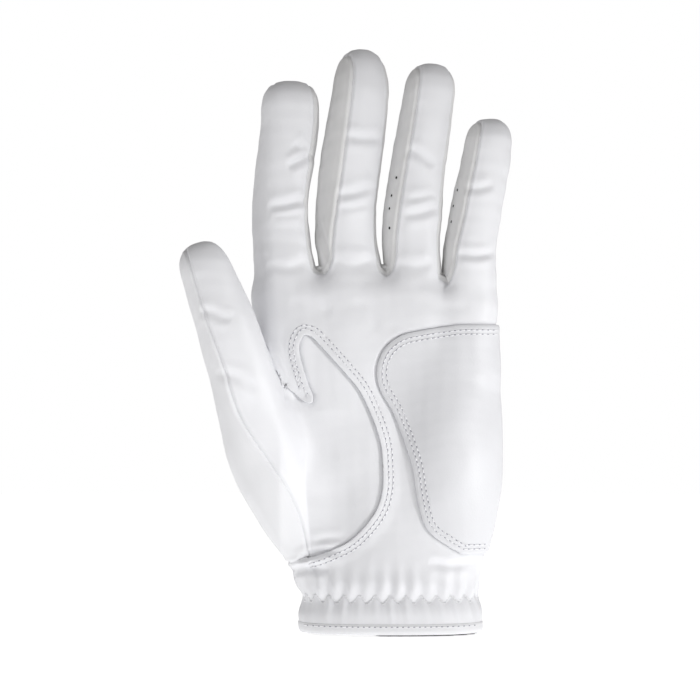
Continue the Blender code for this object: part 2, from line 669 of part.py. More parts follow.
def add_object(name, points, faces, slot, parent=None):
    """A named mesh object; its vertices are measured from its parent's place."""
    origin = np.array(parent.location if parent else (0, 0, 0)) / MM
    mesh = bpy.data.meshes.new(name)
    mesh.from_pydata([tuple((np.array(p) - origin) * MM) for p in points], [], faces)
    mesh.polygons.foreach_set("use_smooth", [True] * len(mesh.polygons))
    mesh.materials.append(material(slot))
    obj = bpy.data.objects.new(name, mesh)
    bpy.context.scene.collection.objects.link(obj)
    obj.parent = parent
    return obj


def inset_border(points, normals, faces, amount):
    """Moves the open border of a set of faces inwards along the surface."""
    sides = {}
    for face in faces:
        for k, c in enumerate(face):
            sides.setdefault(frozenset((face[k - 1], c)), []).append((face[k - 1], c))
    border = [pairs[0] for pairs in sides.values() if len(pairs) == 1]
    push = {}
    for a, b in border:
        along = points[b] - points[a]
        inward = np.cross(normals[a] + normals[b], along)
        inward /= max(np.linalg.norm(inward), 1e-9)
        push.setdefault(a, []).append(inward)
        push.setdefault(b, []).append(inward)
    moved = points.copy()
    for c, directions in push.items():
        total = sum(directions)
        if len(directions) == 2:
            total = total / max(1 + directions[0] @ directions[1], 0.5)
        else:
            total = total / len(directions)
        moved[c] += total * amount
    return moved, border


def own_normals(points, faces):
    """Normals from a set of faces alone, which leave out the neighbours' slope."""
    normals = np.zeros_like(points)
    for face in faces:
        a, b, c = (points[k] for k in face[:3])
        across = np.cross(b - a, c - a)
        normals[face] += across / np.linalg.norm(across)
    return normals / np.maximum(np.linalg.norm(normals, axis=1), 1e-9)[:, None]


def triangles(face, points, normals, hollow):
    """Splits a face: always on its first corner's diagonal, or on the one that keeps a hollow open."""
    if hollow and len(face) == 4:
        outward = normals[face].sum(0)
        first, second = (points[face[k]] + points[face[k + 2]] for k in (0, 1))
        if second @ outward < first @ outward:
            face = face[1:] + face[:1]
    return [[face[0], *face[k : k + 2]] for k in range(1, len(face) - 1)]


def shell(name, points, normals, faces, slot, inner, outer, parent=None, gap=SEAM_GAP):
    """A closed solid between two offsets of a set of faces."""
    hollow = gap == CROTCH_GAP
    used = sorted({c for face in faces for c in face})
    index = {c: i for i, c in enumerate(used)}
    faces = [[index[c] for c in face] for face in faces]
    points, normals = points[used], normals[used]
    faces = [triangle for face in faces for triangle in triangles(face, points, normals, hollow)]
    rim = points[:, 2] < RIM_REACH
    points, border = inset_border(points, normals, faces, gap / 2)
    n = len(points)
    solid = np.concatenate([points + outer * normals, points + inner * normals])
    solid[np.tile(rim, 2), 2] = 0.0
    skin = faces + [[c + n for c in face[::-1]] for face in faces]
    skin += [[b, a, a + n, b + n] for a, b in border]
    return add_object(name, solid, skin, slot, parent)


def sheet_on_back(name, grid, slot, layer, parent=None):
    """A closed solid over a grid of places, in X and Z, on the back of the hand."""
    grid = np.array(grid, float)
    rows, columns = grid.shape[:2]
    points = on_side(grid[..., 0], grid[..., 1], True).reshape(-1, 3)
    slopes = gradient(hand_field, points)
    normals = slopes / np.linalg.norm(slopes, axis=1)[:, None]
    faces = []
    for r in range(rows - 1):
        for c in range(columns - 1):
            a = r * columns + c
            faces.append([a, a + columns, a + columns + 1, a + 1])
    first = points[faces[0]]
    if np.cross(first[1] - first[0], first[2] - first[0]) @ normals[0] < 0:
        faces = [face[::-1] for face in faces]
    return shell(name, points, normals, faces, slot, *LAYER[layer], parent, gap=0.0)


def rectangle(x0, x1, z0, z1, columns, rows):
    return [[(x, z) for x in np.linspace(x0, x1, columns + 1)] for z in np.linspace(z0, z1, rows + 1)]


def rounded_strip(x0, low, high, tip, columns, rows):
    """A grid that ends in a half round: the closure tab's outline."""
    radius = (high - low) / 2
    at = list(np.linspace(x0, tip - radius, columns))
    at += [tip - radius + radius * math.sin(math.radians(a)) for a in (25, 48, 66, 80)]
    grid = []
    for v in np.linspace(-1, 1, rows + 1):
        line = []
        for x in at:
            u = max(0.0, (x - (tip - radius)) / radius)
            line.append((x, (low + high) / 2 + v * radius * math.sqrt(1 - u * u)))
        grid.append(line)
    return grid


def thread(name, points, parent=None):
    """A row of stitches as one round thread through points that lie on the panels."""
    curve = bpy.data.curves.new(name, "CURVE")
    curve.dimensions = "3D"
    curve.bevel_depth = THREAD / 2 * MM
    curve.bevel_resolution = 0
    curve.use_fill_caps = True
    spline = curve.splines.new("POLY")
    spline.points.add(len(points) - 1)
    for corner, p in zip(spline.points, points):
        corner.co = (*(p * MM), 1)
    curve.materials.append(material("thread"))
    obj = bpy.data.objects.new(name, curve)
    bpy.context.scene.collection.objects.link(obj)
    obj.parent = parent
    return obj


def lifted(points, height):
    slopes = gradient(hand_field, points)
    return points + height * slopes / np.linalg.norm(slopes, axis=1)[:, None]


def slot_of(name):
    for words, slot in (
        ("thumb_front", "palm_leather"), ("thumb_back", "back_fabric"), ("fourchette", "fourchette_leather"),
        ("_front_", "palm_leather"), ("_back_", "back_fabric"), ("palm_panel", "palm_leather"),
        ("back_panel", "back_fabric"), ("hem", "binding"), ("knuckle", "stretch_mesh"),
    ):
        if words in name:
            return slot
    raise ValueError(name)


def empty(name, place):
    pivot = bpy.data.objects.new(name, None)
    pivot.location = [v * MM for v in place]
    bpy.context.scene.collection.objects.link(pivot)
    return pivot


def pivots():
    """An empty on each joint's axis: on the palm side of a digit, so that bending only opens the panels."""
    found = {}
    for name, limb in finger_limbs.items():
        for row, segment in zip(FLEX_ROWS, ("lower", "upper")):
            ring = limb.ring(FINGER_ROWS[name][row], np.arange(0, 360, 5))
            nearest = ring[np.argmin(ring[:, 1])]
            found[f"{name}_{segment}"] = empty(f"{name}_{segment}_pivot", nearest + (0, -PIVOT_LIFT, 0))
    for row, segment in zip(THUMB_FLEX_ROWS, ("lower", "upper")):
        ring = thumb_limb.ring(THUMB_ROWS[row], np.arange(0, 360, 5))
        nearest = ring[np.argmin(ring[:, 1])]
        found[f"thumb_{segment}"] = empty(f"thumb_{segment}_pivot", nearest + (0, -PIVOT_LIFT, 0))
    hinge = lifted(on_side([TAB_HINGE_X], [(TAB[0] + TAB[1]) / 2], True), LAYER["tab"][1] + PIVOT_LIFT)[0]
    found["closure_tab"] = empty("closure_tab_pivot", hinge)
    return found


def segment_of(name, found):
    digit, _, rest = name.partition("_")
    return found.get(f"{digit}_{rest.rpartition('_')[2]}")


def add_panels(cage, found):
    tags = sorted({tag for tag in cage.tags if tag})
    seams = {c for face, tag in zip(cage.faces, cage.tags) if tag and "fourchette" not in tag for c in face}
    for tag in tags:
        faces = [face for face, t in zip(cage.faces, cage.tags) if t == tag]
        gap, thick, normals = SEAM_GAP, LEATHER, cage.normals
        if "fourchette" in tag and tag.endswith("_base"):
            gap, thick, normals = CROTCH_GAP, CROTCH_LEATHER, cage.normals.copy()
            valley_line = [c for face in faces for c in face if cage.fields[c] is unmoved]
            normals[valley_line] = own_normals(cage.points, faces)[valley_line]
            foot = sorted({c for face in faces for c in face})
            common = normals[foot].sum(0)
            common /= np.linalg.norm(common)
            share = np.where([c in seams for c in foot], FOOT_SEAM_EVENNESS, FOOT_EVENNESS)[:, None]
            mixed = (1 - share) * normals[foot] + share * common
            normals[foot] = mixed / np.linalg.norm(mixed, axis=1)[:, None]
        shell(tag, cage.points, normals, faces, slot_of(tag), -thick, 0.0, segment_of(tag, found), gap)


def add_heel_patch(cage):
    faces = [face for face, chosen in zip(cage.faces, cage.patch) if chosen]
    shell("heel_patch", cage.points, cage.normals, faces, "patch_leather", *LAYER["patch"], gap=0.0)


def wrist_row(cage, z, columns):
    """Corners and normals of the wrist at one height, on the cage's own flat faces."""
    r = np.searchsorted(PALM_ROWS, z, side="right") - 1
    u = (z - PALM_ROWS[r]) / (PALM_ROWS[r + 1] - PALM_ROWS[r])
    low, high = (np.array([cage.rows[n][c % COLUMNS] for c in columns]) for n in (r, r + 1))
    normals = cage.normals[low] * (1 - u) + cage.normals[high] * u
    return cage.points[low] * (1 - u) + cage.points[high] * u, normals


def wrist_band(cage, name, slot, heights, columns):
    rows = [wrist_row(cage, z, columns) for z in heights]
    points, normals = (np.concatenate([row[k] for row in rows]) for k in (0, 1))
    n = len(columns)
    faces = []
    for r in range(len(heights) - 1):
        faces += [[r * n + k, r * n + k + 1, (r + 1) * n + k + 1, (r + 1) * n + k] for k in range(n - 1)]
    shell(name, points, normals, faces, slot, *LAYER["facing"], gap=0.0)


def add_cuff(cage):
    all_round = range(SLIT_COLUMN + 1, SLIT_COLUMN + COLUMNS + 1)
    wrist_band(cage, "cuff_facing", "dark_tape", (STACK_GAP, PALM_ROWS[1], FACING_TOP), all_round)
    palm_side = range(BACK_END, BACK_END + 25)
    wrist_band(cage, "wrist_elastic", "elastic", (ELASTIC[0], PALM_ROWS[2], ELASTIC[1]), palm_side)
    low, high, pitch = ZIGZAG
    angles = np.linspace(-ZIGZAG_REACH, ZIGZAG_REACH, 200)
    length = np.linalg.norm(np.diff(around(angles, np.full(200, low)), axis=0), axis=1).sum()
    count = 2 * round(length / pitch)
    angles = np.linspace(-ZIGZAG_REACH, ZIGZAG_REACH, count + 1)
    heights = np.where(np.arange(count + 1) % 2, low, high)
    thread("wrist_zigzag_thread", lifted(around(angles, heights), STACK_GAP + THREAD / 2))


def add_closure(found):
    sheet_on_back("loop_pad", rectangle(*LOOP_PAD, 5, 4), "loop", "loop")
    base_x, low, high = TAB_BASE
    base = rectangle(base_x, TAB_HINGE_X - TAB_GAP, low, high, 2, 3)
    sheet_on_back("tab_base", base, "back_fabric", "tab")
    pivot = found["closure_tab"]
    strip = rounded_strip(TAB_HINGE_X + TAB_GAP, TAB[0], TAB[1], TAB[2], 8, 4)
    sheet_on_back("closure_tab", strip, "back_fabric", "tab", pivot)
    sheet_on_back("hook_pad", rectangle(*HOOK_PAD, 4, 3), "hook", "hook", pivot)


def move_to_origin():
    """Puts the middle of the glove's box over the origin, and its lowest point on the ground."""
    bpy.context.view_layer.update()
    graph = bpy.context.evaluated_depsgraph_get()
    low, high = np.full(3, np.inf), np.full(3, -np.inf)
    for obj in bpy.context.scene.objects:
        if obj.type == "EMPTY":
            continue
        corners = np.array([obj.matrix_world @ v.co for v in obj.evaluated_get(graph).to_mesh().vertices])
        low, high = np.minimum(low, corners.min(0)), np.maximum(high, corners.max(0))
    middle = (low + high) / 2
    middle[2] = low[2]
    for obj in bpy.context.scene.objects:
        if not obj.parent:
            obj.location = np.array(obj.location) - middle


def build():
    for old in list(bpy.data.objects):
        bpy.data.objects.remove(old)
    cage = build_cage()
    shape_outlines(cage)
    found = pivots()
    add_panels(cage, found)
    add_heel_patch(cage)
    add_cuff(cage)
    add_closure(found)
    move_to_origin()


build()
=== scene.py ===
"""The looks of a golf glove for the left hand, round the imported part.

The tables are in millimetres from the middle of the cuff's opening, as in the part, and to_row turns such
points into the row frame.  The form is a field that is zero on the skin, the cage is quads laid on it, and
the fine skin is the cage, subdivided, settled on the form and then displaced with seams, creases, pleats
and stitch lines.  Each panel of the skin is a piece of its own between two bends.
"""
import math

import bpy
import numpy as np
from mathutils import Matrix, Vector
from mathutils.bvhtree import BVHTree
from mathutils.kdtree import KDTree


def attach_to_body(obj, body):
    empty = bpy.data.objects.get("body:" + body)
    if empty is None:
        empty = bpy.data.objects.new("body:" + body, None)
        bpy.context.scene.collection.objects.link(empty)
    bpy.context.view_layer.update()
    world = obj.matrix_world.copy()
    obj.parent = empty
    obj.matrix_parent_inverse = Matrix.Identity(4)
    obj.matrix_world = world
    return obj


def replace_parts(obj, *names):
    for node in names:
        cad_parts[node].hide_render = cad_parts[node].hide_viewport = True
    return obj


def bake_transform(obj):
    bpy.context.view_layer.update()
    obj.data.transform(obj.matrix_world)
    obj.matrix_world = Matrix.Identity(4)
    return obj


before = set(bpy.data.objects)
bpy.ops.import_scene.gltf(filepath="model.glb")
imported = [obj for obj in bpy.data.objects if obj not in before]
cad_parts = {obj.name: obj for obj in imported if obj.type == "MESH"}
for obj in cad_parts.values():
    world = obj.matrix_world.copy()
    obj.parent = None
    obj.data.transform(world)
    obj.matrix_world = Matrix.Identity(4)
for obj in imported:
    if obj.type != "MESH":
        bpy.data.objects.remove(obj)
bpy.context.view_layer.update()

MM = 0.001
ORIGIN = (17.068, 3.839, 0.0)  # where the tables' zero is in the row frame, in millimetres
FINE = 3  # subdivisions of the cage

PATCH_RAISED = 1.25  # how far the heel patch stands above the palm
HOLLOW = 5.0  # depth of the soft hollow between the thumb's ball and the cuff
SLIT_GAP = 0.75  # half the wrist slit's width
STITCH_PITCH, STITCH_LENGTH, STITCH_THICK = 2.1, 1.35, 0.4
HOLE_SHADE_SIZE = (0.5, 0.21)  # half length and half width of the grey discs of painted shade at the needle holes between stitches
HEM_STITCH_Z = 2.9
HEM_STITCH_X = (-44, 38)
TACK_PITCH, TACK_REACH = 1.3, 0.8  # the zigzag that tacks the tongue down
TONGUE_TACK = ((-37.3, 108.5), (-37.2, 104.0), (-35.7, 97.0), (-33.4, 91.0))
BREATHING_HOLES = {  # in X and Z
    "ring_lower": ((-0.6, 153.0),),
    "ring_upper": ((0.2, 165.3), (-0.6, 160.4), (2.0, 172.0)),
    "little_upper": ((23.7, 161.5), (25.2, 167.5), (22.9, 155.5)),
}
# What is sewn on, or lies inside the cuff.
FACING_BOTTOM, FACING_TOP = -0.7, 9.0
ELASTIC = (10.0, 16.5)  # low and high edge
ZIGZAG = (11.4, 14.6, 6.0)  # low and high points of the wrist's zigzag seam, and its pitch
ZIGZAG_REACH = 100.0  # degrees to either side of the palm's middle
TAB_HINGE_X, TAB_BEND = -19.0, (-20.6, -17.4)  # where the closure strap folds
TAB = (10.0, 33.0, 24.0)  # low edge, high edge and the tip of the closure strap
STRAP_FOOT_X = -29.0  # the strap's sewn end
STRAP_INSET = 1.9  # from the strap's edge to its stitches
STRAP_STITCH_HEIGHT = 3.45
ANCHOR_ROWS = ((-27.2, 1.7), (-22.4, 3.3))  # X and height of the stitches that hold the strap's foot
HOOK_PAD = (6.0, 19.5, 13.0, 30.0)  # from and to in X, then in Z
LOOP_PAD = (4.5, 25.5, 11.0, 34.0)
BINDING_PROFILE = (  # the slit's tape: how far into the slit, and how far up from the leather
    (-2.6, 0.1), (-2.5, 0.6), (-1.6, 0.75), (-0.4, 0.65),
    (0.25, 0.1), (0.3, -0.7), (-0.2, -1.3), (-2.4, -1.5),
)
BINDING_EVENING = 4  # rounds that even out the tape's line
# The stage, in metres and watts.
FLOOR_RADIUS, FLOOR_Z, FLOOR_GLOW = 1.2, -0.0012, 0.85
KEY_PLACE, KEY_TARGET, KEY_SIZE, KEY_POWER = (1.5, -0.95, 0.3), (0, 0, 0.11), 0.7, 3.6
SPOT_PLACE, SPOT_TARGET = (1.45, -1.0, 0.05), (0.022, 0.0, 0.078)
SPOT_ANGLE, SPOT_POWER, SPOT_RADIUS = 6.8, 56.0, 0.07
AMBIENT = 0.33
LENS = 165.0
CAMERA_X, CAMERA_Z, CAMERA_DISTANCE = 0.0015, 0.1068, 1.2196

# Limbs: (distance along the axis, sideways, towards the back, half width, half depth, turn in degrees).
PALM = (
    (0, 0.0, 0.0, 34.6, 21.0, 0),
    (6, -0.2, 0.0, 34.8, 20.6, 0),
    (12, 0.3, 0.0, 33.4, 19.6, 0),
    (20, -0.8, 0.0, 33.8, 18.8, 0),
    (28, -1.2, 0.0, 35.4, 18.2, 0),
    (40, -1.0, 0.5, 37.8, 17.4, 0),
    (55, -1.0, 1.0, 40.2, 16.6, 0),
    (72, -1.6, 1.5, 42.0, 15.8, 0),
    (90, -2.9, 1.5, 43.6, 14.8, 0),
    (107, -4.6, 1.0, 44.9, 13.8, 0),
    (118, -5.9, 0.5, 44.7, 13.0, 0),
    (126, -6.6, 0.0, 44.4, 12.2, 0),
)
PALM_CAP = 10.5
FINGERS = {
    "index": (
        (112, -38.5, 0.5, 12.4, 11.4, 4),
        (136, -40.0, 0.0, 11.9, 10.6, 8),
        (148, -41.6, -0.5, 10.9, 10.0, 12),
        (162, -42.2, -1.4, 10.5, 9.6, 15),
        (178, -40.4, -3.0, 10.8, 9.2, 16),
        (192, -38.4, -5.2, 11.0, 8.9, 16),
        (198, -38.2, -6.3, 10.8, 8.8, 16),
    ),
    "middle": (
        (112, -13.5, 0.5, 12.2, 11.6, 4),
        (136, -15.2, 0.0, 11.9, 10.8, 14),
        (148, -17.0, -0.5, 11.4, 10.2, 22),
        (160, -17.1, -1.3, 11.3, 9.8, 30),
        (175, -15.6, -2.8, 11.5, 9.6, 34),
        (190, -13.7, -4.8, 11.3, 9.4, 34),
        (202, -12.0, -7.0, 10.5, 8.9, 32),
    ),
    "ring": (
        (112, 8.0, 0.5, 11.6, 11.2, 4),
        (136, 8.6, 0.0, 10.8, 10.4, 10),
        (148, 7.6, -0.5, 10.8, 9.8, 16),
        (160, 8.3, -1.2, 11.0, 9.4, 20),
        (175, 10.0, -2.6, 10.2, 9.1, 22),
        (190, 12.5, -4.5, 9.9, 8.9, 22),
        (203, 14.2, -6.7, 9.2, 8.5, 22),
    ),
    "little": (
        (108, 27.5, 0.5, 10.6, 10.4, 4),
        (132, 29.6, 0.0, 10.2, 9.6, 12),
        (145, 29.9, -0.4, 9.8, 9.1, 18),
        (156, 31.9, -1.1, 9.6, 8.8, 21),
        (168, 34.0, -2.3, 9.5, 8.5, 22),
        (179, 36.1, -3.8, 8.9, 8.2, 22),
        (184, 36.8, -4.6, 8.5, 8.0, 22),
    ),
}
FINGER_CAPS = {"index": 10.6, "middle": 18.4, "ring": 12.1, "little": 10.2}
THUMB = (
    (0, 3.0, -1.0, 10.0, 12.5, 0),
    (22, 0.0, -3.5, 15.2, 14.5, 0),
    (45, -2.8, -7.0, 15.4, 13.6, 2),
    (62, -3.2, -11.0, 13.2, 12.0, 6),
    (75, -2.0, -15.0, 12.2, 11.0, 10),
    (92, -0.9, -18.6, 11.6, 10.2, 12),
    (110, -0.6, -20.8, 10.4, 9.4, 14),
    (118, -0.6, -21.9, 9.6, 8.9, 14),
)
THUMB_CAP = 11.6
# Outlines on the palm side, in X and Z: the edge of the palm panel's cut-out from its peak round to the
# cuff, the tongue's edge from the peak down to the thumb's crotch, and the heel patch.
CUTOUT_EDGE = (
    (-33.1, 112.9), (-29.6, 111.7), (-24.7, 106.8), (-17.9, 99.2), (-11.8, 91.6), (-7.2, 82.1), (-3.8, 71.8),
    (-3.0, 63.5), (-3.0, 55.1), (-4.9, 47.5), (-9.5, 40.7), (-16.0, 34.6), (-24.7, 30.4), (-32.3, 27.7),
)
TONGUE_EDGE = (
    (-33.1, 112.9), (-34.8, 109.4), (-34.8, 105.3), (-33.4, 99.9), (-31.5, 93.9),
    (-29.6, 89.7), (-30.0, 87.0), (-33.1, 87.8), (-36.5, 90.6), (-39.9, 93.1),
)
PATCH_EDGE = (
    (60.0, 115.9), (30.0, 116.3), (20.5, 115.5), (11.0, 114.0), (4.6, 112.5), (-0.4, 109.4),
    (-3.4, 105.6), (-5.1, 100.7), (-5.1, 95.4), (-3.4, 90.4), (0.4, 84.0), (3.4, 76.8),
    (6.5, 68.4), (8.4, 61.6), (9.5, 54.0), (11.0, 46.4), (12.9, 40.7), (16.0, 36.9),
    (20.5, 33.8), (24.7, 31.2), (30.0, 30.0), (60.0, 30.2),
)
THUMB_ROOT = (-28.0, 0.0, 25.0)
THUMB_LEAN = 20.1  # degrees from upright, towards -X
HEEL_PAD = ((22.0, -6.5, 62.0), (15.0, 13.0, 34.0))  # centre and half sizes of the little finger side's pad
WEB_LIFT = 0.8  # how far the leather bridges the valley between two fingers
LITTLE_CROTCH_DROP = 4.5  # how much lower the knuckle line is at the little finger

# Columns across the palm side at the knuckle line: index, middle, ring and little finger, four quads each.
KNUCKLE_X = (
    -49.5, -43.8, -37.8, -31.9, -26.2,
    -20.2, -14.3, -8.4, -2.5,
    3.2, 8.9, 14.6, 20.3,
    24.6, 28.9, 33.1, 36.6,
)
CROTCH_Z = (136.5, 136.8, 132.2)
THUMB_SEAM = (
    (0, -30.0), (12, -28.8), (20, -30.2), (28, -32.2), (41, -32.9),
    (50, -35.8), (58, -40.0), (66, -46.4), (75, -50.6), (84, -55.0),
)
PALM_ROWS = (
    0, 3.6, 8, 12, 16, 20, 24, 28, 34, 40, 46, 52,
    57, 62, 67, 72, 82, 90, 98, 104.5, 111, 117.5, 124,
)
THUMB_HOLE_ROW = PALM_ROWS.index(72)  # where the thumb starts; the hole is two rows tall
FIRST_LOOSE_ROW = PALM_ROWS.index(20)  # rows from here up to the knuckle line are evened out
CUFF_ROW = PALM_ROWS.index(28)  # where the thumb's panels end above the cuff
HEM_ROW = 1
SLIT_ROWS, SLIT_COLUMN = PALM_ROWS.index(52), 28  # the wrist slit in the back
KNUCKLE_BAND_ROWS = range(PALM_ROWS.index(111), PALM_ROWS.index(124))
# After the knuckle line: the second and fourth are the flex lines, the third parts two pieces.
FINGER_ROWS = {
    "index": (141, 145.5, 154.5, 163.8, 173, 182, 191, 198, 204.3),
    "middle": (141.5, 146, 156.5, 168.0, 177, 186, 195, 203, 213.5),
    "ring": (141.5, 146, 155.5, 165.5, 175, 184, 193, 202, 210.5),
    "little": (137.5, 142, 150.5, 160.5, 167, 174, 180, 186, 191.2),
}
THUMB_ROWS = (80, 86, 92, 98, 105, 112, 118, 124.5)  # the first and fourth are the flex lines
THUMB_SPLIT = 92
THUMB_BASE = 62.0
# Where the thumb's base runs from its palm side through the crease and over the web to its back.
WEB = (
    (-46.0, -21.6, 83.2), (-38.6, -14.0, 86.5), (-39.2, -12.2, 90.5), (-40.6, -10.8, 94.0),
    (-43.0, -9.0, 97.0), (-46.0, -6.0, 98.4), (-49.0, -1.5, 96.5), (-51.5, 2.0, 90.5),
)
FRONT_ANGLES = (-50, -26, 0, 26, 50)
SIDE_ANGLES = (70, 90, 110)
RING_ANGLES = FRONT_ANGLES + SIDE_ANGLES + tuple(180 + a for a in FRONT_ANGLES + SIDE_ANGLES)
HAND_SIDE_ANGLES = (79, 90, 101)
BACK_END = 36  # the ring's last corner on the back, which is behind its first on the palm side
COLUMNS = 40  # round the hand: 16 on the palm side, 4 on a side, 16 on the back and 4 on the other side
SECTION_POWER = 2.5
PAD_FILLET, THUMB_FILLET, FINGER_FILLET = 9.0, 7.0, 4.0  # where the forms run into the palm
SIDE_MARGIN = 3.5  # from the hand's edge to the first column of the palm side
KNUCKLE_LOOK = 6.0  # how far under the knuckle line its corners are looked up
TIP_EASE = 5.0  # over what length a limb's slopes die away past its end
ROOT_FADE = 14.0  # over what length a limb dies away below its start
THUMB_LEAVES = 95.0  # the height from which the thumb's form no longer shapes the palm, but the fingers' do


def smooth(table):
    """A smooth curve through a table's rows, as a function of the first column; past its end it eases off."""
    rows = np.array(table, float)
    at, values = rows[:, 0], rows[:, 1:]
    slopes = np.gradient(values, at, axis=0)

    def curve(t):
        past = np.maximum(np.asarray(t, float) - at[-1], 0)
        t = np.clip(np.asarray(t, float), at[0], at[-1])
        i = np.clip(np.searchsorted(at, t, side="right") - 1, 0, len(at) - 2)
        span = (at[i + 1] - at[i])[..., None]
        u = (t - at[i])[..., None] / span
        ends = values[i] * (1 + 2 * u) * (1 - u) ** 2 + values[i + 1] * u**2 * (3 - 2 * u)
        inner = ends + span * (slopes[i] * u * (1 - u) ** 2 - slopes[i + 1] * u**2 * (1 - u))
        return inner + slopes[-1] * (TIP_EASE * (1 - np.exp(-past / TIP_EASE)))[..., None]

    return curve


class Limb:
    """A sweep with a rounded section, closed by a dome, that knows its field and its rings."""

    def __init__(self, table, cap, root=(0, 0, 0), lean=0.0, drop=None):
        a = math.radians(lean)
        self.root = np.array(root, float)
        self.axis = np.array([-math.sin(a), 0, math.cos(a)])
        self.side = np.array([math.cos(a), 0, math.sin(a)])
        self.back = np.array([0, 1.0, 0])
        self.profile = smooth(table)
        self.end, self.cap, self.drop = table[-1][0], cap, drop

    def local(self, points):
        q = points - self.root
        along = q @ self.axis
        if self.drop is not None:
            along = along + self.drop(points)
        sideways, backwards, width, depth, turn = np.moveaxis(self.profile(along), -1, 0)
        x, y, a = q @ self.side - sideways, q @ self.back - backwards, np.radians(turn)
        return along, x * np.cos(a) + y * np.sin(a), y * np.cos(a) - x * np.sin(a), width, depth

    def field(self, points):
        along, x, y, width, depth = self.local(points)
        dome = np.maximum(along - self.end, 0) / self.cap + np.maximum(-along, 0) / ROOT_FADE
        size = np.abs(x / width) ** SECTION_POWER + np.abs(y / depth) ** SECTION_POWER + dome**SECTION_POWER
        return (size ** (1 / SECTION_POWER) - 1) * np.minimum(width, depth)

    def ring(self, along, angles):
        """Points on the skin, this far along the limb; angle 0 faces the palm, 90 the little finger."""
        sideways, backwards, width, depth, turn = self.profile(along)
        a, t = np.radians(angles), math.radians(turn)
        x, y = np.sin(a), -np.cos(a)
        total = np.abs(x / width) ** SECTION_POWER + np.abs(y / depth) ** SECTION_POWER
        reach = total ** (-1 / SECTION_POWER)
        reach *= (1 - min(1, max(0, along - self.end) / self.cap) ** SECTION_POWER) ** (1 / SECTION_POWER)
        x, y = x * reach, y * reach
        x, y = x * math.cos(t) - y * math.sin(t), x * math.sin(t) + y * math.cos(t)
        return (
            self.root + along * self.axis
            + (sideways + x)[:, None] * self.side + (backwards + y)[:, None] * self.back
        )


def knuckle_drop(points):
    """The knuckle line comes down towards the little finger."""
    u = np.clip((points[..., 0] - 4) / 18, 0, 1)
    high = np.clip((points[..., 2] - 90) / 30, 0, 1)
    return LITTLE_CROTCH_DROP * u * u * (3 - 2 * u) * high


def merged(a, b, blend):
    """The union of two fields with a fillet."""
    h = np.maximum(blend - np.abs(a - b), 0) / blend
    return np.minimum(a, b) - h * h * blend / 4


palm_limb = Limb(PALM, PALM_CAP, drop=knuckle_drop)
thumb_limb = Limb(THUMB, THUMB_CAP, THUMB_ROOT, THUMB_LEAN)
finger_limbs = {name: Limb(rows, FINGER_CAPS[name]) for name, rows in FINGERS.items()}


def palm_field(points):
    """The palm and its heel pad."""
    centre, half = (np.array(v) for v in HEEL_PAD)
    pad = (np.linalg.norm((points - centre) / half, axis=-1) - 1) * half.min()
    return merged(palm_limb.field(points), pad, PAD_FILLET)


def hand_field(points):
    """The palm with the thumb."""
    return merged(palm_field(points), thumb_limb.field(points), THUMB_FILLET)


def finger_field(name):
    """The palm with one finger: fingers never blend with each other, so the crotches stay crisp."""
    return lambda points: merged(palm_field(points), finger_limbs[name].field(points), FINGER_FILLET)


def knuckle_field(points):
    """The palm with its four fingers."""
    return np.minimum.reduce([finger_field(name)(points) for name in FINGERS])


def gradient(field, points, step=0.05):
    out = np.empty_like(points)
    for k in range(3):
        shift = np.zeros(3)
        shift[k] = step
        out[:, k] = (field(points + shift) - field(points - shift)) / (2 * step)
    return out


def settle(field, points, rounds=8):
    """Moves points onto the skin, straight along the field."""
    points = np.array(points, float)
    for _ in range(rounds):
        slope = gradient(field, points)
        points -= (field(points) / np.maximum((slope**2).sum(1), 0.05))[:, None] * slope
    return points


def cast(field, starts, directions, reach=90.0):
    """The skin's point on each ray, found by halving, from a start inside the form."""
    low, high = np.zeros(len(starts)), np.full(len(starts), reach)
    for _ in range(30):
        middle = (low + high) / 2
        inside = field(starts + middle[:, None] * directions) < 0
        low, high = np.where(inside, middle, low), np.where(inside, high, middle)
    return starts + low[:, None] * directions


def on_side(x, z, back, field=hand_field):
    """Points of the palm side or the back at the given places, seen straight on."""
    x, z = np.broadcast_arrays(np.asarray(x, float), np.asarray(z, float))
    starts = np.stack([x.ravel(), np.full(x.size, -3.0), z.ravel()], 1)
    directions = np.tile([0, 1.0 if back else -1.0, 0], (x.size, 1))
    return cast(field, starts, directions).reshape(x.shape + (3,))


def around(angle, z, field=hand_field):
    """Points all round the hand: angle 0 is the palm side, 90 the little finger's side and 180 the back."""
    angle, z = np.broadcast_arrays(np.radians(angle), np.asarray(z, float))
    middle = palm_limb.profile(z.ravel())
    starts = np.stack([middle[:, 0], middle[:, 1], z.ravel()], 1)
    directions = np.stack([np.sin(angle.ravel()), -np.cos(angle.ravel()), np.zeros(angle.size)], 1)
    return cast(field, starts, directions).reshape(z.shape + (3,))


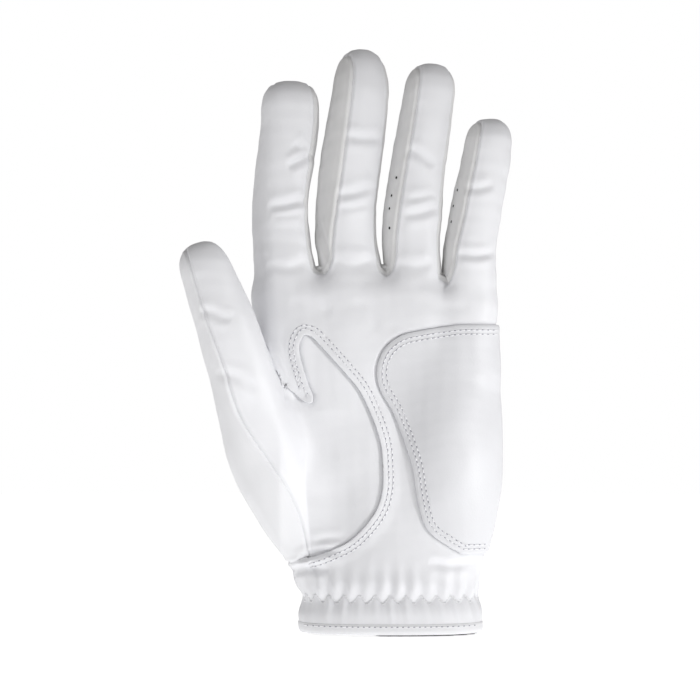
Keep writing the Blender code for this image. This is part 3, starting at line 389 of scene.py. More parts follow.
class Cage:
    """Quads on the hand form.  Each face is tagged with the panel that it belongs to."""

    def __init__(self):
        self.points, self.fields, self.faces, self.tags, self.loose = [], [], [], [], set()

    def add(self, point, field):
        self.points.append(np.array(point, float))
        self.fields.append(field)
        return len(self.points) - 1

    def face(self, corners, tag):
        corners = [c for k, c in enumerate(corners) if c != corners[k - 1]]
        self.faces.append(corners)
        self.tags.append(tag)

    def strip(self, low, high, tags):
        """Quads between two open or closed rows of corners; tags names the panel of each quad."""
        for k, tag in enumerate(tags):
            if tag:
                n = (k + 1) % len(low)
                self.face([low[k], low[n], high[n], high[k]], tag)

    def settle_all(self, rounds):
        for field in set(self.fields):
            chosen = [i for i, f in enumerate(self.fields) if f is field]
            self.points[chosen] = settle(field, self.points[chosen], rounds)

    def even_out(self, rounds):
        """Slides the loose points along the form towards the middle of their neighbours."""
        ends = np.array([(face[k - 1], face[k]) for face in self.faces for k in range(len(face))])
        ends = np.unique(np.sort(ends, axis=1), axis=0)
        count = np.bincount(ends.ravel(), minlength=len(self.points))
        loose = np.array([c for c in sorted(self.loose) if count[c]])
        groups = [
            (field, np.array([c for c in loose if self.fields[c] is field]))
            for field in {self.fields[c] for c in loose}
        ]
        for _ in range(rounds):
            total = np.zeros_like(self.points)
            np.add.at(total, ends[:, 0], self.points[ends[:, 1]])
            np.add.at(total, ends[:, 1], self.points[ends[:, 0]])
            middle = total[loose] / count[loose, None]
            self.points[loose] += 0.5 * (middle - self.points[loose])
            for field, group in groups:
                self.points[group] = settle(field, self.points[group], 1)

    def finish(self):
        """Settles the points on the form and works out normals that point outwards."""
        self.points = np.array(self.points, float)
        self.settle_all(6)
        self.even_out(60)
        self.settle_all(6)
        points = self.points
        normals = np.zeros_like(points)
        for face in self.faces:
            loop = points[face]
            normal = sum(np.cross(loop[j - 1] - loop[0], loop[j] - loop[0]) for j in range(2, len(face)))
            normals[face] += normal / np.linalg.norm(normal)
        self.normals = normals / np.maximum(np.linalg.norm(normals, axis=1), 1e-9)[:, None]
        return self


def palm_row(z):
    """One ring of the hand: 17 columns of the palm side, a side, 17 of the back and a side."""
    up = np.clip((z - 84) / (130 - 84), 0, 1) ** 0.8
    below_thumb = z <= PALM_ROWS[THUMB_HOLE_ROW]
    left = around(270, z)[0] if below_thumb else palm_limb.profile(z)[0] - palm_limb.profile(z)[2]
    right = around(90, z)[0]
    seam = smooth(THUMB_SEAM)(z)[0] if below_thumb else left + SIDE_MARGIN
    return np.linspace(seam, right - SIDE_MARGIN, 17) * (1 - up) + np.array(KNUCKLE_X) * up


def build_cage():
    cage = Cage()
    rows = []
    for z in PALM_ROWS:
        x = palm_row(z)
        field = knuckle_field if z > THUMB_LEAVES else hand_field
        front, back = on_side(x, z, False, field), on_side(x[::-1], z, True, field)
        right, left = (around(np.add(HAND_SIDE_ANGLES, turn), z, field) for turn in (0, 180))
        rows.append([cage.add(p, field) for p in (*front, *right, *back, *left)])
        if len(rows) > FIRST_LOOSE_ROW:
            cage.loose.update(rows[-1])
            if len(rows) <= THUMB_HOLE_ROW + 1:
                cage.loose.remove(rows[-1][0])
    # The knuckle line: the top of the hand and the first ring of every finger.
    crotch = np.interp(KNUCKLE_X, (KNUCKLE_X[4], KNUCKLE_X[8], KNUCKLE_X[12]), CROTCH_Z)
    names = list(FINGERS)
    top_fields = [finger_field(name) for name in names]
    owner = [0] * 4 + [None] + [1] * 3 + [None] + [2] * 3 + [None] + [3] * 4
    low = crotch - KNUCKLE_LOOK
    front, back = on_side(KNUCKLE_X, low, False), on_side(KNUCKLE_X[::-1], low[::-1], True)
    front[:, 2] += KNUCKLE_LOOK
    back[:, 2] += KNUCKLE_LOOK
    # The outermost corners are on the edge of the hand, so they come from the fingers' own rings.
    for name, column, angle in (("index", 0, FRONT_ANGLES[0]), ("little", 16, FRONT_ANGLES[-1])):
        front[column], back[16 - column] = finger_limbs[name].ring(crotch[column], (angle, 180 - angle))
    top = [cage.add(p, knuckle_field if o is None else top_fields[o]) for p, o in zip(front, owner)]
    top += [cage.add(p, top_fields[3]) for p in finger_limbs["little"].ring(crotch[-1], SIDE_ANGLES)]
    top += [cage.add(p, knuckle_field if o is None else top_fields[o]) for p, o in zip(back, owner[::-1])]
    far_angles = np.add(SIDE_ANGLES, 180)
    top += [cage.add(p, top_fields[0]) for p in finger_limbs["index"].ring(crotch[0], far_angles)]
    rows.append(top)
    crotches = []
    for i, k in enumerate((4, 8, 12)):
        ends = cage.points[top[k]], cage.points[top[BACK_END - k]]
        line = [valley(*top_fields[i : i + 2], ends[0] * (1 - u) + ends[1] * u) for u in (0.25, 0.5, 0.75)]
        crotches.append([cage.add(p, unmoved) for p in line])
    add_hand_faces(cage, rows)
    for i, name in enumerate(names):
        add_finger(cage, name, top_fields[i], finger_base(top, crotches, i))
    add_thumb(cage, rows)
    return cage.finish()


def valley(first, second, start, rounds=25):
    """Just above where two fingers' skins meet at the start's depth, found by Newton steps in X and Z."""
    p = np.array(start, float)
    for _ in range(rounds):
        values = np.array([f(p[None])[0] for f in (first, second)])
        slopes = np.array([gradient(f, p[None])[0][[0, 2]] for f in (first, second)])
        step = np.linalg.lstsq(slopes, -values, rcond=0.05)[0]
        p[[0, 2]] += step * min(1, 1.5 / max(np.linalg.norm(step), 1e-9))
    return p + (0, 0, WEB_LIFT)


def unmoved(points):
    """The field of points that stay where they are put."""
    return np.zeros(len(points))


def finger_base(top, crotches, i):
    """The ring of corners that a finger starts from: parts of the knuckle line and of the crotches."""
    right = top[17:20] if i == 3 else crotches[i]
    left = top[37:40] if i == 0 else crotches[i - 1][::-1]
    return top[4 * i : 4 * i + 5] + right + top[BACK_END - 4 * i - 4 : BACK_END - 4 * i + 1] + left


def add_hand_faces(cage, rows):
    for r in range(len(rows) - 1):
        tags = ["palm_panel"] * 20 + ["back_panel"] * 16 + ["palm_panel"] * 4
        if r < HEM_ROW:
            tags = ["hem_binding"] * COLUMNS
        if CUFF_ROW <= r < THUMB_HOLE_ROW:
            # Left of the thumb's seam, round the edge of the hand and one column of the back.
            tags[35:] = ["thumb_back_base"] * 5
        if r in (THUMB_HOLE_ROW, THUMB_HOLE_ROW + 1):
            tags[35:] = [None] * 5
            tags[0] = None
        if r < SLIT_ROWS:
            tags[SLIT_COLUMN] = None
        if r in KNUCKLE_BAND_ROWS:
            tags[22:34] = ["knuckle_stretch_band"] * 12
        cage.strip(rows[r], rows[r + 1], tags)


def side_tags(name, segment):
    """Panels round a finger: palm side, little finger's side, back and thumb's side, four quads wide each."""
    right = f"{name}_fourchette_little_side" if name != "little" else f"{name}_front"
    left = f"{name}_fourchette_thumb_side" if name != "index" else f"{name}_front"
    sides = [f"{name}_front"] * 4 + [right] * 4 + [f"{name}_back"] * 4 + [left] * 4
    return [f"{side}_{segment}" for side in sides]


def halved(rows):
    return sorted({*rows, *((a + b) / 2 for a, b in zip(rows, rows[1:]))})


def add_finger(cage, name, field, base):
    limb = finger_limbs[name]
    low = base
    for along in halved(FINGER_ROWS[name]):
        high = [cage.add(p, field) for p in limb.ring(along, RING_ANGLES)]
        segment = "lower" if along <= FINGER_ROWS[name][2] else "upper"
        cage.strip(low, high, side_tags(name, segment))
        low = high
    tip = limb.end + limb.cap
    ends = limb.ring(limb.end + 0.94 * limb.cap, (-90, 90))
    crest = [ends[0] + (ends[1] - ends[0]) * u for u in np.linspace(0.0, 1, 5)]
    crest = [cage.add(np.array([p[0], p[1], tip - 0.06 * limb.cap]), field) for p in crest]
    last = crest + [crest[4]] * 3 + crest[::-1] + [crest[0]] * 3
    cage.strip(low, last, side_tags(name, "upper"))


def thumb_angles(along):
    """Sixteen angles round the thumb; the fifteenth is on the seam, which nears the palm side lower down."""
    seam = np.interp(along, (THUMB_BASE, 80, 102, 124), (-26, -36, -46, -44))
    return np.interp(np.arange(16), (0, 8, 14, 16), (0, 180, 360 + seam, 360))


def add_thumb(cage, rows):
    """The thumb grows out of the hole that the hand's faces leave, sixteen quads round."""
    r = THUMB_HOLE_ROW
    columns = (1, 0, 39, 38, 37, 36, 35)
    around_low = [rows[r][k] for k in columns]
    around_high = [rows[r + 2][k] for k in columns]
    loop = [rows[r + 1][1]] + around_high + [rows[r + 1][35]] + around_low[::-1]
    base = thumb_limb.ring(THUMB_BASE, thumb_angles(THUMB_BASE))
    base[:8] = WEB
    for corner, p in zip(loop, base):
        cage.points[corner] = p
    cage.loose.difference_update(loop)
    # The palm side's panel runs from the seam at 314 to 334 degrees round to the one at 112.5 degrees.
    sides = ["thumb_front"] * 5 + ["thumb_back"] * 9 + ["thumb_front"] * 2
    between = (base + thumb_limb.ring(THUMB_ROWS[0], thumb_angles(THUMB_ROWS[0]))) / 2
    high = [cage.add(p, hand_field) for p in between]
    cage.loose.update(high)
    cage.strip(loop, high, [f"{side}_base" for side in sides])
    low = high
    for along in halved(THUMB_ROWS):
        high = [cage.add(p, hand_field) for p in thumb_limb.ring(along, thumb_angles(along))]
        segment = "lower" if along <= THUMB_SPLIT else "upper"
        cage.strip(low, high, [f"{side}_{segment}" for side in sides])
        low = high
    crest = [cage.add(p, hand_field) for p in thumb_limb.ring(128.6, (-90, -45, 0, 45, 90))]
    line = np.linspace(0, 1, 7)
    ends = (cage.points[crest[0]], cage.points[crest[-1]])
    spine = [cage.add(ends[0] * (1 - u) + ends[1] * u, hand_field) for u in line]
    # Twelve of the sixteen corners close in pairs along the spine; the others fan out at its ends.
    last = [spine[k] for k in (3, 4, 5, 6, 6, 6, 5, 4, 3, 2, 1, 0, 0, 0, 1, 2)]
    cage.strip(low, last, [f"{side}_upper" for side in sides])


def inside(outline, x, z):
    """Whether points lie inside a closed outline."""
    inner = np.zeros(len(x), bool)
    for (x0, z0), (x1, z1) in zip(outline, outline[1:] + outline[:1]):
        crosses = (z0 > z) != (z1 > z)
        inner ^= crosses & (x < (x1 - x0) * (z - z0) / ((z1 - z0) or 1.0) + x0)
    return inner


# ---- the fine skin ----

STROKES = (  # creases of the palm side, in X and Z, with their depth and half width
    (((-46.5, 161.0), (-40.0, 161.6), (-32.0, 164.0)), 0.75, 1.5),
    (((-45.0, 157.2), (-38.0, 157.8), (-33.0, 159.0)), 0.3, 1.2),
    (((-39.5, 176.0), (-35.0, 178.0), (-29.6, 181.2)), 0.7, 1.3),
    (((-37.5, 184.5), (-34.0, 183.2), (-31.0, 184.0)), 0.45, 1.6),
    (((-17.5, 187.4), (-10.0, 186.6), (-3.0, 187.2)), 0.55, 1.5),
    (((-21.0, 165.0), (-13.0, 166.3), (-6.0, 169.2)), 0.6, 1.5),
    (((-20.0, 160.5), (-14.0, 160.8), (-8.5, 162.5)), 0.3, 1.2),
    (((-28.5, 156.5), (-26.0, 148.0), (-23.0, 139.5)), 0.5, 1.1),
    (((6.0, 183.2), (11.0, 180.5), (16.5, 176.0)), 0.5, 1.5),
    (((4.5, 157.8), (11.0, 158.6), (18.0, 161.2)), 0.55, 1.5),
    (((6.0, 163.5), (12.0, 164.6), (17.0, 166.0)), 0.28, 1.2),
    (((27.5, 168.0), (33.0, 167.6), (39.0, 169.5)), 0.4, 1.3),
    (((25.0, 143.6), (32.0, 142.6), (39.5, 143.8)), 0.55, 1.3),
    (((-47.0, 139.5), (-39.0, 137.8), (-31.0, 140.5)), 0.4, 1.8),
    (((-22.0, 140.5), (-14.0, 138.8), (-6.0, 141.0)), 0.35, 1.8),
    (((2.0, 139.8), (9.0, 138.2), (16.0, 139.5)), 0.35, 1.7),
    (((-71.5, 121.5), (-66.5, 120.5), (-60.0, 117.5)), 0.45, 1.4),
    (((-66.0, 98.5), (-58.0, 96.5), (-50.0, 92.0)), 0.4, 1.6),
    (((-36.5, 27.0), (-28.0, 30.2), (-19.4, 31.2)), 0.75, 1.1),
    (((-38.5, 22.5), (-31.0, 24.2), (-24.0, 23.6)), 0.6, 1.2),
    (((-30.0, 33.5), (-24.0, 35.8), (-17.0, 36.2)), 0.3, 1.2),
    (((14.0, 27.2), (22.0, 25.6), (32.0, 26.6)), 0.45, 1.4),
    (((-14.0, 126.0), (-8.0, 121.0), (-5.5, 114.0)), 0.25, 2.4),
    (((-38.0, 126.0), (-30.0, 122.5), (-22.0, 121.5)), 0.25, 2.6),
    (((10.0, 126.5), (18.0, 123.5), (30.0, 123.0)), 0.25, 2.4),
)
CREASE_DEPTH = 1.45
BULGE = 2.3  # where a crease's raised sides are, in half widths
CUFF_TOP = 30.0
PLEAT_PITCH = 6.0
STITCH_ROWS = (1.9, 3.5)  # distances of the two rows of stitches from an edge
RAISED = 1.1  # how far an overlapping edge stands above what it is sewn to
SEAM_DEPTH, SEAM_HALF = 0.55, 0.5
RIDGE, RIDGE_AT = 0.22, 1.25  # the raised line on each side of a seam
RIM = 1.3  # how far a panel's edge goes down
EDGE_GROOVE = 0.6  # depth of the groove beside an overlapping edge
CALM_REACH, CALM_RISE = 9.0, 0.4  # the overlap's groove and height die away near the thumb's crotch


def curve_through(points, step=0.5):
    """Points spaced along a smooth curve through an open outline."""
    p = np.array(points, float)
    p = np.vstack([2 * p[0] - p[1], p, 2 * p[-1] - p[-2]])
    out = []
    for a, b, c, d in zip(p, p[1:], p[2:], p[3:]):
        count = max(2, round(np.linalg.norm(c - b) / step))
        u = np.arange(count)[:, None] / count
        square, cube = 2 * a - 5 * b + 4 * c - d, 3 * b - a - 3 * c + d
        out.append(0.5 * (2 * b + (c - a) * u + square * u**2 + cube * u**3))
    return np.vstack([*out, p[-2]])


def near_line(line, points):
    """Distance from each point to an open line in the plane, and how far along the line its foot is."""
    line = np.asarray(line, float)
    best = np.full(len(points), 1e9)
    foot = np.zeros((len(points), 2))
    place = np.zeros(len(points))
    for k, (a, b) in enumerate(zip(line, line[1:])):
        if (a == b).all():
            continue
        t = np.clip((points - a) @ (b - a) / ((b - a) @ (b - a)), 0, 1)
        q = a + t[:, None] * (b - a)
        d = np.linalg.norm(points - q, axis=1)
        closer = d < best
        best[closer], foot[closer], place[closer] = d[closer], q[closer], (k + t[closer]) / (len(line) - 1)
    return best, foot, place


cutout_curve = curve_through(CUTOUT_EDGE)
tongue_curve = curve_through(TONGUE_EDGE)
patch_curve = curve_through(PATCH_EDGE)
thenar_outline = np.vstack([cutout_curve, [(-75.0, 27.7), (-75.0, 93.1)], tongue_curve[::-1]])


def skin_value(points, mix):
    fields, shares = mix
    value = np.zeros(len(points))
    for field, share in zip(fields, shares):
        chosen = share > 1e-3
        if chosen.any():
            value[chosen] += share[chosen] * field(points[chosen])
    return value


def settle_skin(points, mix, rounds):
    step = 0.05
    for _ in range(rounds):
        value = skin_value(points, mix)
        slope = np.stack([(skin_value(points + step * e, mix) - value) / step for e in np.eye(3)], 1)
        move = (value / np.maximum((slope**2).sum(1), 0.02))[:, None] * slope
        length = np.linalg.norm(move, axis=1)[:, None]
        points = points - move * np.minimum(1, 1.5 / np.maximum(length, 1e-9))
    return points


def corner_normals(points, quads):
    """Outward normals of the corners of a quad mesh, each face by its size."""
    across = np.cross(points[quads[:, 2]] - points[quads[:, 0]], points[quads[:, 3]] - points[quads[:, 1]])
    normals = np.zeros_like(points)
    for k in range(4):
        np.add.at(normals, quads[:, k], across)
    return normals / np.maximum(np.linalg.norm(normals, axis=1), 1e-12)[:, None]


def build_skin(cage):
    """The cage subdivided and settled on the form: points, quads and each quad's tag."""
    fields = sorted(set(cage.fields), key=cage.fields.index)
    tags = sorted({tag for tag in cage.tags if tag})
    mesh = bpy.data.meshes.new("cage")
    mesh.from_pydata([tuple(p) for p in cage.points], [], cage.faces)
    mesh.polygons.foreach_set("material_index", [tags.index(tag) for tag in cage.tags])
    for k, field in enumerate(fields):
        weights = mesh.attributes.new(f"field_{k}", "FLOAT", "POINT")
        weights.data.foreach_set("value", [float(f is field) for f in cage.fields])
    helper = bpy.data.objects.new("cage", mesh)
    bpy.context.scene.collection.objects.link(helper)
    modifier = helper.modifiers.new("fine", "SUBSURF")
    modifier.levels = modifier.render_levels = FINE
    bpy.context.view_layer.update()
    fine = helper.evaluated_get(bpy.context.evaluated_depsgraph_get()).to_mesh()
    count = len(fine.vertices)
    points = np.empty(count * 3, np.float32)
    fine.vertices.foreach_get("co", points)
    points = points.reshape(-1, 3).astype(float)
    quads = np.empty(len(fine.loops), np.int32)
    fine.loops.foreach_get("vertex_index", quads)
    which = np.empty(len(fine.polygons), np.int32)
    fine.polygons.foreach_get("material_index", which)
    shares = np.empty((len(fields), count), np.float32)
    for k in range(len(fields)):
        fine.attributes[f"field_{k}"].data.foreach_get("value", shares[k])
    bpy.data.objects.remove(helper)
    mix = (fields, shares)
    quads = quads.reshape(-1, 4)
    points = settle_skin(points, mix, 3)
    return points, quads, np.array(tags)[which], mix


def group_of(tag):
    """The panels whose skins run on into each other without a seam."""
    for words, group in (
        ("thumb_front", "thenar"), ("thumb_back", "thumb_back"), ("fourchette", "fourchette"),
        ("_front_", "palm"), ("_back_", "back"), ("palm_panel", "palm"), ("back_panel", "back"),
    ):
        if words in tag:
            return group
    return tag


def edges_of(quads):
    """Each edge of the skin with its one or two faces: corners (n, 2) and faces (n, 2), -1 for none."""
    ends = np.vstack([quads[:, [k, (k + 1) % 4]] for k in range(4)])
    faces = np.tile(np.arange(len(quads)), 4)
    keys = np.sort(ends, axis=1)
    order = np.lexsort((keys[:, 1], keys[:, 0]))
    keys, faces, ends = keys[order], faces[order], ends[order]
    first = np.flatnonzero(np.r_[True, (keys[1:] != keys[:-1]).any(1)])
    last = np.r_[first[1:], len(keys)] - 1
    return ends[first], np.stack([faces[first], np.where(last > first, faces[last], -1)], 1)


def snap(points, quads, mix, chosen, among, line, reach=1.4):
    """Moves the border between the chosen faces and the others onto a line, seen straight on."""
    inner, outer = np.zeros(len(points), bool), np.zeros(len(points), bool)
    inner[quads[chosen]] = True
    outer[quads[among & ~chosen]] = True
    border = np.flatnonzero(inner & outer)
    d, foot, _ = near_line(line, points[border][:, [0, 2]])
    near = d < reach
    border, foot = border[near], foot[near]
    points[border, 0], points[border, 2] = foot[:, 0], foot[:, 1]
    sub = (mix[0], mix[1][:, border])
    points[border] = settle_skin(points[border], sub, 2)
    return points


def islands(quads, member):
    """Labels the chosen faces by which of them hang together."""
    faces = edges_of(quads)[1]
    both = (faces >= 0).all(1)
    links = faces[both]
    links = links[member[links[:, 0]] & member[links[:, 1]]]
    label = np.arange(len(quads))
    while True:
        low = np.minimum(label[links[:, 0]], label[links[:, 1]])
        new = label.copy()
        np.minimum.at(new, links[:, 0], low)
        np.minimum.at(new, links[:, 1], low)
        new = new[new]
        if (new == label).all():
            return label
        label = new


def cut_outlines(points, quads, tags, mix):
    """Gives the thumb's front panel what shows in the palm's cut-out, and finds the heel patch."""
    palm = tags == "palm_panel"
    for _ in range(2):
        normals = corner_normals(points, quads)
        centres, facing = points[quads].mean(1), normals[quads].mean(1)[:, 1]
        thenar = palm & inside_curve(thenar_outline, centres) & (facing < 0.25)
        points = snap(points, quads, mix, thenar, palm, np.vstack([tongue_curve[::-1], cutout_curve]))
    label = islands(quads, palm & ~thenar)
    rest = palm & ~thenar
    main = np.bincount(label[rest]).argmax()
    thenar |= rest & (label != main)
    tags = np.where(thenar, "thumb_front_base", tags)
    palm = tags == "palm_panel"
    for _ in range(2):
        centres = points[quads].mean(1)
        facing = corner_normals(points, quads)[quads].mean(1)[:, 1]
        patch = palm & inside_curve(patch_curve, centres) & ((facing < 0.3) | (centres[:, 0] > 20))
        patch &= centres[:, 0] > -8
        patch &= ~((facing > 0.3) & (centres[:, 0] < 20))
        points = snap(points, quads, mix, patch, palm, patch_curve)
    return points, tags, patch


def inside_curve(outline, centres):
    outline = [tuple(p) for p in outline]
    return inside(outline, centres[:, 0], centres[:, 2])


def slit_edges(points, quads):
    """The corners on the left and on the right edge of the wrist slit, from the cuff up."""
    ends, faces = edges_of(quads)
    open_corners = np.unique(ends[faces[:, 1] < 0])
    p = points[open_corners]
    open_corners = open_corners[(p[:, 1] > 4) & (p[:, 2] > 0.3)]
    p = points[open_corners]
    middle = p[:, 0].mean()
    sides = [open_corners[p[:, 0] < middle], open_corners[p[:, 0] >= middle]]
    return [side[np.argsort(points[side][:, 2])] for side in sides]


def narrow_slit(points, quads, mix):
    """Closes the wrist slit to a narrow gap that comes to a point."""
    left, right = (points[side] for side in slit_edges(points, quads))
    z = points[:, 2]
    low, high = (np.interp(z, edge[:, 2], edge[:, 0]) for edge in (left, right))
    middle, half = (low + high) / 2, np.maximum((high - low) / 2, 0.05)
    goal = np.interp(z, (0, 36, 50, 54), (SLIT_GAP, SLIT_GAP, 0.12, 0.05))
    u = points[:, 0] - middle
    size = np.abs(u)
    near = np.clip((62 - z) / 8, 0, 1)
    new = np.where(size < half, size * goal / half, goal + (size - half) * (12 - goal) / (12 - half))
    new = new * near + size * (1 - near)
    chosen = (size < 12) & (points[:, 1] > 4) & (z < 62)
    points[chosen, 0] = (middle + np.sign(u) * new)[chosen]
    sub = (mix[0], mix[1][:, chosen])
    points[chosen] = settle_skin(points[chosen], sub, 2)
    return points


def waves(points, length, seed, count=7):
    """Soft irregular waves, the same on each run."""
    rng = np.random.default_rng(seed)
    total = np.zeros(len(points))
    for _ in range(count):
        direction = rng.normal(size=3)
        direction *= 2 * math.pi / (np.linalg.norm(direction) * length * rng.uniform(0.7, 1.5))
        total += np.sin(points @ direction + rng.uniform(0, 6.3))
    return total / math.sqrt(count)


def bump(x, middle, width):
    return np.exp(-(((x - middle) / width) ** 2))


def round_wrist(points):
    """Angle from the palm side and distance round the wrist for points of the cuff."""
    angle = np.degrees(np.arctan2(points[:, 0] + 0.5, -points[:, 1]))
    table = np.linspace(-180, 180, 241)
    ring = around(table, np.full(241, 13.0))
    length = np.r_[0, np.cumsum(np.linalg.norm(np.diff(ring, axis=0), axis=1))]
    length -= np.interp(0, table, length)
    return angle, np.interp(angle, table, length)


def zigzag_height(s):
    low, high, pitch = ZIGZAG
    return low + (high - low) * np.abs(((s / pitch) % 1) * 2 - 1)


def cuff_relief(points):
    """Pleats under the zigzag seam, puckers above it, and the pinch of the elastic."""
    z = points[:, 2]
    low = z < CUFF_TOP
    out = np.zeros(len(points))
    if not low.any():
        return out
    p, z = points[low], z[low]
    angle, s = round_wrist(p)
    gather = np.interp(np.abs(angle), (0, 92, 118, 180), (1, 1, 0.3, 0.2))
    drift = 0.55 * np.sin(s / 5.3 + 1) + 0.35 * np.sin(s / 2.9)
    phase = 2 * math.pi * s / PLEAT_PITCH
    lean = 0.16 * (z - 12)
    pleats = np.cos(phase + 0.25 * drift + lean) + 0.3 * np.cos(2 * phase + drift + 2 * lean)
    puckers = np.cos(phase) + 0.3 * np.sin(phase * 0.5 + drift)
    uneven = 1 + 0.35 * np.sin(s / 4.1 + 0.7)
    below = np.interp(z, (0, 3.4, 4.6, 9.0, 11.6, 13, 14.4), (0.0, 0.03, 0.12, 0.32, 0.4, 0.25, 0.0)) * uneven
    above = np.interp(z, (12.5, 14.6, 16.5, 20, 26, 30), (0.05, 0.42, 0.55, 0.3, 0.08, 0)) * uneven
    value = gather * (below * pleats - above * puckers)
    value += gather * (-0.45 * bump(z, 13, 2.4) + 0.2 * bump(z, 8.0, 2.6) + 0.35 * bump(z, 19.0, 3.2))
    value -= gather * 0.3 * bump(z - zigzag_height(s), 0, 0.5)
    out[low] = value
    return out


def relief(points, normals, seam_distance):
    """How far each point of the skin is raised, whatever panel it is on."""
    d = seam_distance
    out = -SEAM_DEPTH * bump(d, 0, SEAM_HALF) + RIDGE * bump(d, RIDGE_AT, 0.55)
    z = points[:, 2]
    leather = np.interp(z, (0, 26, 40), (0.2, 0.4, 1.0))
    out += leather * (0.16 * waves(points, 19, 3) + 0.045 * waves(points, 5.5, 5))
    fingers = np.interp(z, (128, 145), (0, 1))
    out += fingers * 0.07 * waves(points * (0.5, 0.5, 1.6), 8, 11)
    front = np.clip(-normals[:, 1] * 3 + 0.6, 0, 1)
    flat = points[:, [0, 2]]
    for line, depth, width in STROKES:
        box = np.array(line)
        low, high = box.min(0) - 9, box.max(0) + 9
        near = np.flatnonzero(((flat > low) & (flat < high)).all(1) & (front > 0))
        if not len(near):
            continue
        distance, _, place = near_line(curve_through(line, 2.0), flat[near])
        fade = np.clip(np.minimum(place, 1 - place) * 5, 0, 1) ** 0.7
        shape = -bump(distance, 0, width) + 0.45 * bump(distance, BULGE * width, 1.3 * width)
        out[near] += front[near] * fade * CREASE_DEPTH * depth * shape
    return out + cuff_relief(points)


# ---- panels ----

def panel_slot(tag):
    for words, slot in (
        ("thumb_front", "palm_leather"), ("thumb_back", "back_fabric"), ("fourchette", "fourchette_leather"),
        ("_front_", "palm_leather"), ("_back_", "back_fabric"), ("palm_panel", "palm_leather"),
        ("back_panel", "back_fabric"), ("hem", "binding"), ("knuckle", "stretch_mesh"),
    ):
        if words in tag:
            return slot
    raise ValueError(tag)


def distance_to(points, chosen, reach):
    """Distance from every point to the nearest of the chosen ones, up to a reach."""
    tree = KDTree(len(chosen))
    for k, p in enumerate(points[chosen]):
        tree.insert(Vector(p), k)
    tree.balance()
    low, high = points[chosen].min(0) - reach, points[chosen].max(0) + reach
    out = np.full(len(points), float(reach))
    for k in np.flatnonzero(((points > low) & (points < high)).all(1)):
        out[k] = min(reach, tree.find(Vector(points[k]))[2])
    return out


def fade(d, length):
    """One at no distance, zero from the length on, smooth between."""
    u = np.clip(1 - d / length, 0, 1)
    return u * u * (3 - 2 * u)


def unit(vectors):
    return vectors / np.maximum(np.linalg.norm(vectors, axis=-1, keepdims=True), 1e-12)


def to_row(points):
    return (np.asarray(points, float) + ORIGIN) * MM


def add_mesh(name, points, faces, normals, slot, smooth=True):
    """A mesh object from points in the tables' millimetres, with the material and finish of a slot."""
    mesh = bpy.data.meshes.new(name)
    mesh.from_pydata(to_row(points).tolist(), [], [list(map(int, face)) for face in faces])
    if smooth:
        mesh.shade_smooth()
    if normals is not None:
        mesh.normals_split_custom_set_from_vertices(normals.tolist())
    mesh.materials.append(materials[slot])
    obj = bpy.data.objects.new(name, mesh)
    bpy.context.scene.collection.objects.link(obj)
    return obj


def thenar_hollow(points):
    """The soft hollow between the thumb's ball and the cuff."""
    x, z = points[:, 0], points[:, 2]
    across = np.interp(x, (-42, -31, -8, 2), (0.0, 1.0, 0.15, 0.0))
    up = np.interp(z, (14, 32, 52, 84), (0.0, 0.9, 1.0, 0.0))
    return HOLLOW * across * up * (points[:, 1] < 0)


